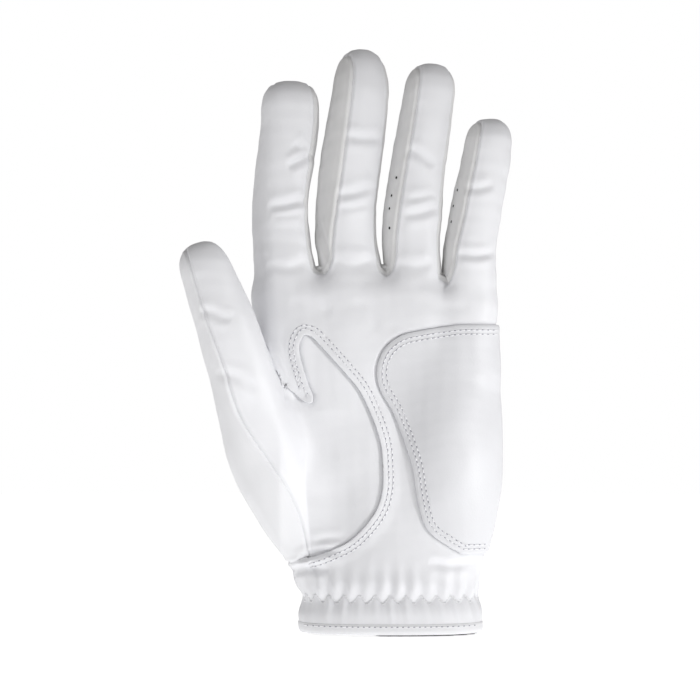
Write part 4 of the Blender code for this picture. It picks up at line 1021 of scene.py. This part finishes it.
class Skin:
    """The fine skin with its panels' heights.  A group is the panels that run on into each other."""

    def __init__(self, points, quads, tags, patch):
        self.points, self.quads, self.tags, self.patch = points, quads, tags, patch
        self.normals = corner_normals(points, quads)
        names, which = np.unique(tags, return_inverse=True)
        self.groups = sorted({group_of(name) for name in names})
        self.group = np.array([self.groups.index(group_of(name)) for name in names])[which]
        self.ends, self.beside = edges_of(quads)
        first = self.group[self.beside[:, 0]]
        second = np.where(self.beside[:, 1] < 0, -1, self.group[self.beside[:, 1]])
        self.pairs = np.sort(np.stack([first, second], 1), axis=1)
        self.heights = self.group_heights()

    def border(self, *names):
        """Corners on the border between two groups, or of one group with an open edge."""
        numbers = sorted(-1 if name is None else self.groups.index(name) for name in names)
        return np.unique(self.ends[(self.pairs == numbers).all(1)])

    def group_heights(self):
        points, normals = self.points, self.normals
        number = {name: k for k, name in enumerate(self.groups)}
        apart = self.pairs[:, 0] != self.pairs[:, 1]
        overlap = (self.pairs == sorted((number["palm"], number["thenar"]))).all(1)
        hem = (self.pairs == number["hem_binding"]).any(1)
        seams = np.unique(self.ends[apart & ~overlap & ~hem & (self.pairs[:, 0] >= 0)])
        self.cut = distance_to(points, self.border("palm", "thenar"), 8.0)
        self.to_patch = distance_to(points, self.patch_border(), 4.0)
        hem_line = np.unique(self.ends[hem & apart & (self.pairs[:, 0] >= 0)])
        self.hem = distance_to(points, hem_line, 4.0)
        base = relief(points, normals, distance_to(points, seams, 4.0)) - thenar_hollow(points)
        rows = -0.17 * (bump(self.cut, STITCH_ROWS[0], 0.5) + bump(self.cut, STITCH_ROWS[1], 0.5))
        heights = {name: base.copy() for name in self.groups}
        tongue_end = np.linalg.norm(points[:, [0, 2]] - np.array(TONGUE_EDGE[-1]), axis=1)
        calm = 1 - fade(tongue_end, CALM_REACH)
        heights["palm"] += RAISED * fade(self.cut, 7.5) * (CALM_RISE + (1 - CALM_RISE) * calm)
        heights["palm"] += (0.12 * bump(self.cut, 0.9, 0.6) + rows) * calm
        heights["palm"] -= EDGE_GROOVE * bump(self.to_patch, 0.1, 0.7)
        heights["thenar"] -= EDGE_GROOVE * bump(self.cut, 0, 0.9) * calm
        heights["hem_binding"] += 0.5 - 0.35 * bump(self.hem, 0, 0.45) - 0.3 * fade(points[:, 2], 0.9)
        heights["hem_binding"] -= 0.16 * bump(points[:, 2], 2.6, 0.3)
        band = heights["knuckle_stretch_band"]
        band += 0.28 * np.cos(2 * math.pi * points[:, 2] / 2.6) - 0.2
        return heights

    def patch_border(self):
        inner = self.patch[self.beside[:, 0]]
        outer = np.where(self.beside[:, 1] < 0, False, self.patch[self.beside[:, 1]])
        return np.unique(self.ends[inner != outer])


def wall(points, normals, edges, depth, start):
    """The edge of a panel as walls that go down from its border: points, quads and normals."""
    used, where = np.unique(edges, return_inverse=True)
    where = where.reshape(-1, 2)
    top = points[used]
    along = top[where[:, 1]] - top[where[:, 0]]
    out = unit(np.cross(along, normals[used][where[:, 0]] + normals[used][where[:, 1]]))
    outwards = np.zeros_like(top)
    np.add.at(outwards, where[:, 0], out)
    np.add.at(outwards, where[:, 1], out)
    outwards = unit(outwards)
    steps = np.array(depth, float)
    rows = [top + outwards * bulge - normals[used] * down for bulge, down in steps]
    tilt = [unit(outwards + normals[used] * up) for up in np.linspace(0.8, 0.0, len(steps))]
    n = len(used)
    a, b = where.T
    faces = [
        np.stack([b + r * n, a + r * n, a + (r + 1) * n, b + (r + 1) * n], 1) + start
        for r in range(len(steps) - 1)
    ]
    return np.vstack(rows), np.vstack(faces), np.vstack(tilt)


BUTT_EDGE = ((0, 0), (0.0, 0.5), (-0.1, RIM))  # how a panel's edge goes down: outwards and down
LAP_EDGE = ((0, 0), (0.2, 0.1), (0.24, 0.36), (-0.3, 0.62), (-0.35, RIM))


def panel(skin, name, chosen, group, height, kind, edge=BUTT_EDGE):
    """One panel as a mesh with turned-down edges.  Its normals come from its whole group."""
    raised = skin.points + height[:, None] * skin.normals
    normals = group_normals(skin, group, height)
    used, local = np.unique(skin.quads[chosen], return_inverse=True)
    local = local.reshape(-1, 4)
    first, second = skin.beside.T
    mine_first = chosen[first]
    mine_second = np.where(second < 0, False, chosen[second])
    kin_first, kin_second = group[first], np.where(second < 0, False, group[second])
    forward = skin.ends[mine_first & ~kin_second]
    backward = skin.ends[mine_second & ~kin_first][:, ::-1]
    edges = np.vstack([forward, backward])
    points, faces, tilt = raised[used], local, normals[used]
    if len(edges):
        more, walls, tilts = wall(raised, normals, edges, edge, len(used))
        points, faces, tilt = np.vstack([points, more]), np.vstack([faces, walls]), np.vstack([tilt, tilts])
    return add_mesh(name, points, faces, tilt, kind)


shared_normals = {}


def group_normals(skin, group, height):
    key = (int(group.sum()), float(height.sum()))
    if key not in shared_normals:
        raised = skin.points + height[:, None] * skin.normals
        shared_normals[key] = corner_normals(raised, skin.quads[group])
    return shared_normals[key]


def attach(obj, name):
    """Rides a panel on the hand's root body; a digit's lower or upper panel only has its transform baked."""
    digit, _, rest = name.partition("_")
    segment = rest.rpartition("_")[2]
    if segment not in ("lower", "upper") or digit not in (*FINGERS, "thumb"):
        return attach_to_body(obj, "root")
    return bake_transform(obj)


def add_panels(skin):
    for tag in np.unique(skin.tags):
        chosen = skin.tags == tag
        name = group_of(tag)
        group = skin.group == skin.groups.index(name)
        edge = LAP_EDGE if name in ("palm", "hem_binding") else BUTT_EDGE
        obj = panel(skin, f"{tag}_skin", chosen, group, skin.heights[name], panel_slot(tag), edge)
        attach(obj, tag)
        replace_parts(obj, tag)
        if "fourchette" in tag and tag.endswith("_lower"):
            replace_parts(obj, tag.replace("_lower", "_base"))


def add_heel_patch(skin):
    # The patch bridges only part of the groove beside it, so its edge dips into the palm.
    on_palm = skin.heights["palm"] + 0.25 * bump(skin.to_patch, 0.2, 0.8)
    height = on_palm + PATCH_RAISED - 0.2 * bump(skin.to_patch, 0, 0.4)
    height -= 0.17 * (bump(skin.to_patch, STITCH_ROWS[0], 0.45) + bump(skin.to_patch, STITCH_ROWS[1], 0.45))
    obj = panel(skin, "heel_patch_skin", skin.patch, skin.patch, height, "patch_leather", LAP_EDGE)
    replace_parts(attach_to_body(obj, "root"), "heel_patch")
    return height


# ---- stitches and small parts ----

def skin_surface(skin):
    """Everything that a stitch can lie on, for ray casts."""
    points, faces, start = [], [], 0
    for k, name in enumerate(skin.groups):
        points.append(skin.points + skin.heights[name][:, None] * skin.normals)
        faces.append(skin.quads[skin.group == k] + start)
        start += len(skin.points)
    return BVHTree.FromPolygons(np.vstack(points).tolist(), np.vstack(faces).tolist())


def patch_surface(skin, height):
    points = skin.points + height[:, None] * skin.normals
    return BVHTree.FromPolygons(points.tolist(), skin.quads[skin.patch].tolist())


def seen_from_front(surface, places):
    """Points and normals of a surface at places in X and Z, seen straight on; None where there is nothing."""
    found = []
    for x, z in places:
        place, normal = surface.ray_cast(Vector((x, -90.0, z)), Vector((0, 1, 0)))[:2]
        found.append((np.array(place), np.array(normal) * (-1 if normal.y > 0 else 1)) if place else None)
    return found


def spaced(line, pitch):
    """Places at equal distances along a line, with the line's direction there."""
    line = np.asarray(line, float)
    length = np.r_[0, np.cumsum(np.linalg.norm(np.diff(line, axis=0), axis=1))]
    at = np.arange(pitch / 2, length[-1], pitch)
    places = np.stack([np.interp(at, length, line[:, k]) for k in range(line.shape[1])], 1)
    ahead = np.stack([np.interp(at + 0.3, length, line[:, k]) for k in range(line.shape[1])], 1)
    behind = np.stack([np.interp(at - 0.3, length, line[:, k]) for k in range(line.shape[1])], 1)
    return places, unit(ahead - behind)


def beside_line(line, distance):
    """A line at a distance to the left of another in the plane, without the loops of its tight corners."""
    places, along = spaced(line, 0.5)
    moved = places + distance * np.stack([-along[:, 1], along[:, 0]], 1)
    return moved[near_line(line, moved)[0] > 0.93 * abs(distance)]


CAPSULE_SIDES = 6
CAPSULE_RINGS = (  # place along the stitch, size and rise of each ring
    (-0.5, 0.35, -0.5), (-0.4, 0.85, -0.12), (0.0, 1.0, 0.1), (0.4, 0.85, -0.12), (0.5, 0.35, -0.5),
)


def capsules(name, starts, ends, ups, slot, thick=STITCH_THICK):
    """Short threads that dip into the leather at both ends, as one mesh."""
    starts, ends, ups = (np.array(v, float) for v in (starts, ends, ups))
    along = ends - starts
    middle = (starts + ends) / 2
    side = unit(np.cross(along, ups))
    ups = unit(np.cross(side, along))
    rings = []
    for at, size, rise in CAPSULE_RINGS:
        centre = middle + at * along + rise * thick / 2 * ups
        for k in range(CAPSULE_SIDES):
            turn = 2 * math.pi * k / CAPSULE_SIDES
            rings.append(centre + size * thick / 2 * (math.cos(turn) * side + math.sin(turn) * ups))
    points = np.stack(rings, 1)
    n, per = len(starts), len(rings)
    faces = []
    for r in range(len(CAPSULE_RINGS) - 1):
        for k in range(CAPSULE_SIDES):
            a, b = r * CAPSULE_SIDES + k, r * CAPSULE_SIDES + (k + 1) % CAPSULE_SIDES
            faces.append([a, a + CAPSULE_SIDES, b + CAPSULE_SIDES, b])
    quads = (np.arange(n)[:, None, None] * per + np.array(faces)).reshape(-1, 4)
    caps = [list(range(CAPSULE_SIDES)), list(range(per - 1, per - 1 - CAPSULE_SIDES, -1))]
    ends_of_all = [[c + k * per for c in cap] for k in range(n) for cap in caps]
    return add_mesh(name, points.reshape(-1, 3), quads.tolist() + ends_of_all, None, slot)


def add_needle_hole_shade(name, places, along, ups):
    """Small grey discs, painted shade where the needle went through, as one mesh."""
    side = unit(np.cross(ups, along))
    turns = np.arange(6) * math.pi / 3
    corners = [places + HOLE_SHADE_SIZE[0] * math.cos(t) * along + HOLE_SHADE_SIZE[1] * math.sin(t) * side for t in turns]
    points = np.stack(corners, 1).reshape(-1, 3)
    faces = [[6 * k + j for j in range(6)] for k in range(len(places))]
    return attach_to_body(add_mesh(name, points, faces, None, "painted_hole_shade"), "root")


def stitch_row(name, surface, line, lift=0.12):
    """A row of separate stitches along a line that is seen straight on."""
    places, along = spaced(line, STITCH_PITCH)
    half = STITCH_LENGTH / 2
    starts, ends, ups = [], [], []
    first, second = (seen_from_front(surface, places + reach * along) for reach in (-half, half))
    for a, b in zip(first, second):
        if a is None or b is None or np.linalg.norm(a[0] - b[0]) > 2 * STITCH_LENGTH:
            continue
        up = unit(a[1] + b[1])
        starts.append(a[0] + lift * up)
        ends.append(b[0] + lift * up)
        ups.append(up)
    apart = (STITCH_PITCH - STITCH_LENGTH) / 2
    along_row, upwards = unit(np.array(ends) - np.array(starts)), unit(np.array(ups))
    # The needle holes are grey discs of painted shade, between the stitches and a little under the surface.
    add_needle_hole_shade(f"{name}_holes", np.array(ends) + apart * along_row - 0.07 * upwards, along_row, upwards)
    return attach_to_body(capsules(name, starts, ends, ups, "thread"), "root")


def add_stitches(surface, patch_top):
    outline = np.vstack([curve_through(TONGUE_EDGE[:8])[::-1], cutout_curve[1:]])
    for k, distance in enumerate(STITCH_ROWS):
        stitch_row(f"cutout_stitches_{k + 1}", surface, beside_line(outline, distance))
        stitch_row(f"patch_stitches_{k + 1}", patch_top, beside_line(patch_curve, distance))
    tack = curve_through(TONGUE_TACK)
    places, along = spaced(tack, TACK_PITCH)
    side = np.where(np.arange(len(places)) % 2, TACK_REACH, -TACK_REACH)[:, None]
    across = np.stack([-along[:, 1], along[:, 0]], 1) * side
    zigzag_stitches("tongue_zigzag", surface, places + across)
    hem = [(x, HEM_STITCH_Z) for x in np.linspace(*HEM_STITCH_X, 160)]
    stitch_row("hem_stitches", surface, np.array(hem))


def zigzag_stitches(name, surface, corners):
    starts, ends, ups = [], [], []
    found = seen_from_front(surface, corners)
    for a, b in zip(found, found[1:]):
        if a is None or b is None:
            continue
        up = unit(a[1] + b[1])
        starts.append(a[0] + 0.1 * up)
        ends.append(b[0] + 0.1 * up)
        ups.append(up)
    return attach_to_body(capsules(name, starts, ends, ups, "thread", 0.3), "root")


def on_nearest(surface, points):
    found = [surface.find_nearest(Vector(p)) for p in points]
    return np.array([f[0] for f in found]), np.array([f[1] for f in found])


def add_wrist_zigzag(surface):
    low, high, pitch = ZIGZAG
    reach = ZIGZAG_REACH
    angles = np.linspace(-reach, reach, 400)
    ring = around(angles, np.full(400, (low + high) / 2))
    length = np.r_[0, np.cumsum(np.linalg.norm(np.diff(ring, axis=0), axis=1))]
    count = 2 * round(length[-1] / pitch)
    corners = np.interp(np.linspace(0, length[-1], count + 1), length, angles)
    heights = np.where(np.arange(count + 1) % 2, high, low)
    steps = 4
    line_angles = np.interp(np.linspace(0, count, count * steps + 1), np.arange(count + 1), corners)
    line_heights = np.interp(np.linspace(0, count, count * steps + 1), np.arange(count + 1), heights)
    places, normals = on_nearest(surface, around(line_angles, line_heights))
    outward = places - around(line_angles, line_heights) * (0, 0, 1)
    normals = normals * np.sign((normals * outward).sum(1))[:, None]
    places = places + 0.1 * normals
    gap = 0.12 * (places[1:] - places[:-1])
    obj = capsules(
        "wrist_zigzag_skin", places[:-1] + gap, places[1:] - gap, normals[:-1] + normals[1:], "thread", 0.42
    )
    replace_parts(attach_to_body(obj, "root"), "wrist_zigzag_thread")


def add_dots(surface):
    """The breathing holes of the fourchettes, drawn as near-black discs: painted shade of the holes."""
    for name, places in BREATHING_HOLES.items():
        points, faces = [], []
        for hit in seen_from_front(surface, places):
            if hit is None:
                continue
            place, normal = hit
            side = unit(np.cross(normal, (0, 0, 1.0)))
            up = np.cross(side, normal)
            start = len(points)
            turns = np.arange(12) * math.pi / 6
            points += [place + 0.06 * normal + 0.55 * (math.cos(t) * side + math.sin(t) * up) for t in turns]
            points.append(place + 0.02 * normal)
            faces += [[start + k, start + (k + 1) % 12, start + 12] for k in range(12)]
        # the near-black discs stand for the holes: painted shade
        obj = add_mesh(f"{name}_breathing_holes", points, faces, None, "dark_tape", smooth=False)
        digit, segment = name.split("_")
        attach(obj, f"{digit}_breathing_{segment}")


def sheet(name, grid, inner, outer, slot, edge=0.35):
    """A thin solid over a grid of points with normals: rounded at its border."""
    points, normals = grid
    rows, columns = points.shape[:2]
    down = np.full((rows, columns), edge)
    down[1:-1, 1:-1] = 0
    inner, outer = np.broadcast_to(inner, (rows, columns)), np.broadcast_to(outer, (rows, columns))
    top = points + (outer - down)[..., None] * normals
    bottom = points + (inner + down * 0.3)[..., None] * normals
    n = rows * columns
    index = np.arange(n).reshape(rows, columns)
    faces = [
        [index[r, c], index[r + 1, c], index[r + 1, c + 1], index[r, c + 1]]
        for r in range(rows - 1) for c in range(columns - 1)
    ]
    outline = [(index[0, c + 1], index[0, c]) for c in range(columns - 1)]
    outline += [(index[-1, c], index[-1, c + 1]) for c in range(columns - 1)]
    outline += [(index[r, 0], index[r + 1, 0]) for r in range(rows - 1)]
    outline += [(index[r + 1, -1], index[r, -1]) for r in range(rows - 1)]
    border = [[a, b, b + n, a + n] for a, b in outline]
    faces = faces + [[c + n for c in face[::-1]] for face in faces] + border
    up, across = points[1, 0] - points[0, 0], points[0, 1] - points[0, 0]
    if np.cross(up, across) @ normals[0, 0] <= 0:
        faces = [face[::-1] for face in faces]
    return add_mesh(name, np.vstack([top.reshape(-1, 3), bottom.reshape(-1, 3)]), faces, None, slot)


def back_grid(x, z):
    """Points and normals of the form on the back of the hand."""
    points = on_side(x, z, True)
    flat = points.reshape(-1, 3)
    return points, unit(gradient(hand_field, flat)).reshape(points.shape)


def plain_grid(x0, x1, z0, z1, step=1.0):
    across = np.linspace(x0, x1, max(3, int((x1 - x0) / step)))
    up = np.linspace(z0, z1, max(3, int((z1 - z0) / step)))
    return np.meshgrid(across, up)


def strap_grid(x0, low, high, tip, columns, rows):
    """A strap's outline with a half round tip, as a grid."""
    radius = (high - low) / 2
    straight = np.linspace(x0, tip - radius, columns)
    turned = tip - radius + radius * np.sin(np.radians(np.linspace(6, 86, 16)))
    at = np.r_[straight, turned]
    x = np.tile(at, (rows + 1, 1))
    over = np.clip((x - (tip - radius)) / radius, 0, 1)
    z = (low + high) / 2 + np.linspace(-1, 1, rows + 1)[:, None] * radius * np.sqrt(1 - over**2)
    return x, z


def add_closure():
    x, z = plain_grid(*LOOP_PAD)
    obj = sheet("loop_pad_skin", back_grid(x, z), 0.0, 1.1, "loop")
    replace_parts(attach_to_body(obj, "root"), "loop_pad")
    x, z = plain_grid(*HOOK_PAD)
    obj = sheet("hook_pad_skin", back_grid(x, z), 1.55, 2.3, "hook", edge=0.2)
    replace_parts(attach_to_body(obj, "closure_tab"), "hook_pad")
    x, z = strap_grid(STRAP_FOOT_X, *TAB, 56, 30)
    rise = np.clip((x - STRAP_FOOT_X) / 7.0, 0, 1)
    rise = rise * rise * (3 - 2 * rise)
    inward = np.minimum(np.minimum(z - TAB[0], TAB[1] - z), (TAB[2] - x))
    swell = 0.25 * np.clip(inward / 3, 0, 1) - 0.15 * bump(inward, STRAP_INSET, 0.4)
    fold = -0.35 * bump(x, TAB_HINGE_X, 0.9)
    inner = 0.3 + 2.05 * rise
    outer = inner + 1.05 + swell + fold
    obj = sheet("closure_strap", back_grid(x, z), inner, outer, "back_fabric")
    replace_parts(obj, "closure_tab", "tab_base")
    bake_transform(obj)
    strap_stitches("tab_stitches", strap_outline(), STRAP_STITCH_HEIGHT, "closure_tab")
    for k, (x, height) in enumerate(ANCHOR_ROWS):
        line = [(x, z) for z in np.arange(TAB[0] + 1.5, TAB[1] - 1, 1.0)]
        strap_stitches(f"strap_anchor_stitches_{k + 1}", line, height, "root")


def strap_outline():
    """The line of stitches along the strap's free edges and round its tip."""
    low, high, tip = TAB
    radius, middle = (high - low) / 2, (low + high) / 2
    turn_x, inner = tip - radius, radius - STRAP_INSET
    line = [(x, low + STRAP_INSET) for x in np.arange(-16.0, turn_x, 1.0)]
    turns = np.radians(np.arange(-88, 90, 4))
    line += [(turn_x + inner * math.cos(t), middle + inner * math.sin(t)) for t in turns]
    line += [(x, high - STRAP_INSET) for x in np.arange(turn_x, -16.5, -1.0)]
    return line


def strap_stitches(name, line, height, body):
    """A row of stitches at a height over the back, on one body."""
    places, along = spaced(np.array(line), STITCH_PITCH)
    half = STITCH_LENGTH / 2
    a, b = places - half * along, places + half * along
    (start, normals), (end, _) = back_grid(a[:, 0], a[:, 1]), back_grid(b[:, 0], b[:, 1])
    obj = capsules(name, start + height * normals, end + height * normals, normals, "thread")
    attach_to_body(obj, body)


def ring_grid(angles, heights):
    z, a = np.meshgrid(heights, angles, indexing="ij")
    points = around(a, z)
    flat = points.reshape(-1, 3)
    return points, unit(gradient(hand_field, flat) * (1, 1, 0)).reshape(points.shape)


def add_cuff_insides():
    angles = np.linspace(-174.0, 183.0, 300)
    ripple = 0.25 * np.cos(2 * math.pi * np.arange(300) / 9.0)
    points, normals = ring_grid(angles, np.array((FACING_BOTTOM, 1.0, 2.5, 4.5, 7.0, FACING_TOP)))
    shows = np.clip((points[0, :, 0] + 12) / 8, 0, 1)
    points[0, :, 2] = 0.4 + (FACING_BOTTOM - 0.4) * shows
    obj = sheet("cuff_facing_skin", (points, normals), -2.35 + ripple, -1.45 + ripple, "dark_tape", edge=0.15)
    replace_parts(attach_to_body(obj, "root"), "cuff_facing")
    angles = np.linspace(-104, 104, 320)
    heights = np.linspace(ELASTIC[0], ELASTIC[1], 14)
    ribs = 0.12 * np.cos(np.arange(14) * math.pi)[:, None]
    gathers = 0.4 * np.cos(2 * math.pi * np.arange(320) / 11.0)
    wavy = gathers + ribs
    obj = sheet("wrist_elastic_skin", ring_grid(angles, heights), -2.9 + wavy, -2.0 + wavy, "elastic")
    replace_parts(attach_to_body(obj, "root"), "wrist_elastic")


def add_slit_binding(skin):
    """A tape folded over the edges of the wrist slit."""
    left, right = slit_edges(skin.points, skin.quads)
    chain = np.r_[left, right[::-1]]
    hem = skin.points[:, 2] < PALM_ROWS[1]
    height = np.where(hem, skin.heights["hem_binding"], skin.heights["back"])
    raised = skin.points + height[:, None] * skin.normals
    line, normals = raised[chain], skin.normals[chain]
    for _ in range(BINDING_EVENING):
        line[1:-1] = (line[:-2] + line[1:-1] * 2 + line[2:]) / 4
        normals[1:-1] = unit(normals[:-2] + normals[1:-1] * 2 + normals[2:])
    outwards = unit(np.cross(unit(np.gradient(line, axis=0)), normals))
    centre = raised[np.r_[left[-3:], right[-3:]]].mean(0)
    if ((centre - line)[: len(left) // 2] * outwards[: len(left) // 2])[:, 0].sum() < 0:
        outwards = -outwards
    rings = [line + a * outwards + b * normals for a, b in BINDING_PROFILE]
    points = np.stack(rings, 1).reshape(-1, 3)
    n, m = len(line), len(rings)
    faces = [
        [k * m + j, k * m + j + 1, (k + 1) * m + j + 1, (k + 1) * m + j]
        for k in range(n - 1) for j in range(m - 1)
    ]
    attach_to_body(add_mesh("slit_binding", points, faces, None, "binding"), "root")


# ---- materials ----

FINISHES = {  # colour, roughness, grain size in mm, grain depth in mm, kind of grain
    "palm_leather": ((0.86, 0.865, 0.89), 0.47, 0.55, 0.035, "leather"),
    "patch_leather": ((0.77, 0.775, 0.80), 0.5, 0.6, 0.05, "leather"),
    "back_fabric": ((0.85, 0.855, 0.875), 0.55, 0.6, 0.035, "leather"),
    "fourchette_leather": ((0.80, 0.80, 0.80), 0.55, 0.5, 0.03, "leather"),
    "stretch_mesh": ((0.80, 0.805, 0.82), 0.75, 0.7, 0.1, "weave"),
    "binding": ((0.87, 0.875, 0.895), 0.6, 0.45, 0.05, "weave"),
    "elastic": ((0.80, 0.80, 0.80), 0.8, 0.6, 0.1, "weave"),
    # black of the cuff's tape; the breathing holes' discs also use it as painted shade
    "dark_tape": ((0.03, 0.03, 0.033), 0.8, 0.5, 0.08, "weave"),
    "hook": ((0.78, 0.78, 0.78), 0.7, 0.9, 0.4, "nap"),
    "loop": ((0.84, 0.84, 0.84), 0.95, 1.3, 0.5, "nap"),
    "thread": ((0.88, 0.88, 0.90), 0.5, 0.25, 0.03, "weave"),
    # the grey of the needle holes is painted shade
    "painted_hole_shade": ((0.33, 0.33, 0.38), 0.9, 0.5, 0.01, "weave"),
}


def make_material(slot, colour, roughness, grain, depth, kind):
    made = bpy.data.materials.new(slot)
    made.use_nodes = True
    tree = made.node_tree
    nodes, link = tree.nodes, tree.links.new
    shader = nodes["Principled BSDF"]
    shader.inputs["Roughness"].default_value = roughness
    place = nodes.new("ShaderNodeTexCoord").outputs["Object"]
    if kind == "weave":
        texture = nodes.new("ShaderNodeTexWave")
        texture.inputs["Scale"].default_value = 0.16 / (grain * MM)
        texture.inputs["Distortion"].default_value = 1.5
        height = texture.outputs["Fac"]
    elif kind == "nap":
        texture = nodes.new("ShaderNodeTexNoise")
        texture.inputs["Scale"].default_value = 1 / (grain * MM)
        texture.inputs["Detail"].default_value = 3.0
        height = texture.outputs["Fac"]
    else:
        texture = nodes.new("ShaderNodeTexVoronoi")
        texture.feature = "SMOOTH_F1"
        texture.inputs["Scale"].default_value = 1 / (grain * MM)
        height = texture.outputs["Distance"]
    link(place, texture.inputs["Vector"])
    relief_node = nodes.new("ShaderNodeBump")
    relief_node.inputs["Strength"].default_value = 0.6
    relief_node.inputs["Distance"].default_value = depth * MM
    link(height, relief_node.inputs["Height"])
    link(relief_node.outputs["Normal"], shader.inputs["Normal"])
    stain = nodes.new("ShaderNodeTexNoise")
    stain.inputs["Scale"].default_value = 55.0
    stain.inputs["Detail"].default_value = 4.0
    link(place, stain.inputs["Vector"])
    tint = nodes.new("ShaderNodeValToRGB")
    tint.color_ramp.elements[0].position = 0.3
    tint.color_ramp.elements[1].position = 0.7
    tint.color_ramp.elements[0].color = (*(0.965 * c for c in colour), 1)
    tint.color_ramp.elements[1].color = (*colour, 1)
    link(stain.outputs["Fac"], tint.inputs["Fac"])
    link(tint.outputs["Color"], shader.inputs["Base Color"])
    return made


materials = {slot: make_material(slot, *finish) for slot, finish in FINISHES.items()}


# ---- the stage ----

def add_stage():
    floor_mesh = bpy.data.meshes.new("floor")
    turns = np.arange(64) * 2 * math.pi / 64
    rim = [(FLOOR_RADIUS * math.cos(t), FLOOR_RADIUS * math.sin(t), FLOOR_Z) for t in turns]
    floor_mesh.from_pydata(rim, [], [list(range(len(rim)))])
    floor = bpy.data.objects.new("floor", floor_mesh)
    bpy.context.scene.collection.objects.link(floor)
    white = bpy.data.materials.new("floor_white")
    white.use_nodes = True
    shader = white.node_tree.nodes["Principled BSDF"]
    shader.inputs["Base Color"].default_value = (0.9, 0.9, 0.9, 1)
    shader.inputs["Roughness"].default_value = 0.9
    shader.inputs["Emission Color"].default_value = (1, 1, 1, 1)
    shader.inputs["Emission Strength"].default_value = FLOOR_GLOW
    floor_mesh.materials.append(white)


def add_light(name, place, size, power, colour):
    light = bpy.data.lights.new(name, "AREA")
    light.shape = "DISK"
    light.size, light.energy, light.color = size, power, colour
    obj = bpy.data.objects.new(name, light)
    obj.location = place
    obj.rotation_mode = "QUATERNION"
    obj.rotation_quaternion = (Vector(KEY_TARGET) - obj.location).to_track_quat("-Z", "Y")
    bpy.context.scene.collection.objects.link(obj)


def add_spot(name, place, target, angle, power):
    light = bpy.data.lights.new(name, "SPOT")
    light.energy, light.shadow_soft_size = power, SPOT_RADIUS
    light.spot_size, light.spot_blend = math.radians(angle), 1.0
    obj = bpy.data.objects.new(name, light)
    obj.location = place
    obj.rotation_mode = "QUATERNION"
    obj.rotation_quaternion = (Vector(target) - obj.location).to_track_quat("-Z", "Y")
    bpy.context.scene.collection.objects.link(obj)


def add_world():
    world = bpy.data.worlds.new("white")
    world.use_nodes = True
    nodes, link = world.node_tree.nodes, world.node_tree.links.new
    seen, lit = nodes["Background"], nodes.new("ShaderNodeBackground")
    seen.inputs["Color"].default_value = (1, 1, 1, 1)
    seen.inputs["Strength"].default_value = 1.0
    lit.inputs["Color"].default_value = (1, 0.985, 0.975, 1)
    lit.inputs["Strength"].default_value = AMBIENT
    either = nodes.new("ShaderNodeMixShader")
    link(nodes.new("ShaderNodeLightPath").outputs["Is Camera Ray"], either.inputs["Fac"])
    link(lit.outputs["Background"], either.inputs[1])
    link(seen.outputs["Background"], either.inputs[2])
    link(either.outputs["Shader"], nodes["World Output"].inputs["Surface"])
    bpy.context.scene.world = world


def add_camera():
    data = bpy.data.cameras.new("camera")
    data.sensor_width, data.lens = 36.0, LENS
    camera = bpy.data.objects.new("camera", data)
    camera.location = (CAMERA_X, -CAMERA_DISTANCE, CAMERA_Z)
    camera.rotation_euler = (math.pi / 2, 0, 0)
    data.clip_start, data.clip_end = 0.01, 20.0
    bpy.context.scene.collection.objects.link(camera)
    bpy.context.scene.camera = camera


# ---- all of it ----

cage = build_cage()
points, quads, tags, mix = build_skin(cage)
points = narrow_slit(points, quads, mix)
points, tags, patch = cut_outlines(points, quads, tags, mix)
skin = Skin(points, quads, tags, patch)
surface = skin_surface(skin)
add_panels(skin)
patch_height = add_heel_patch(skin)
add_stitches(surface, patch_surface(skin, patch_height))
add_wrist_zigzag(surface)
add_dots(surface)
add_closure()
add_cuff_insides()
add_slit_binding(skin)
add_stage()
add_world()
add_light("key", KEY_PLACE, KEY_SIZE, KEY_POWER, (1, 0.995, 1))
add_spot("low_key", SPOT_PLACE, SPOT_TARGET, SPOT_ANGLE, SPOT_POWER)
add_camera()
bpy.context.scene.view_settings.view_transform = "Standard"
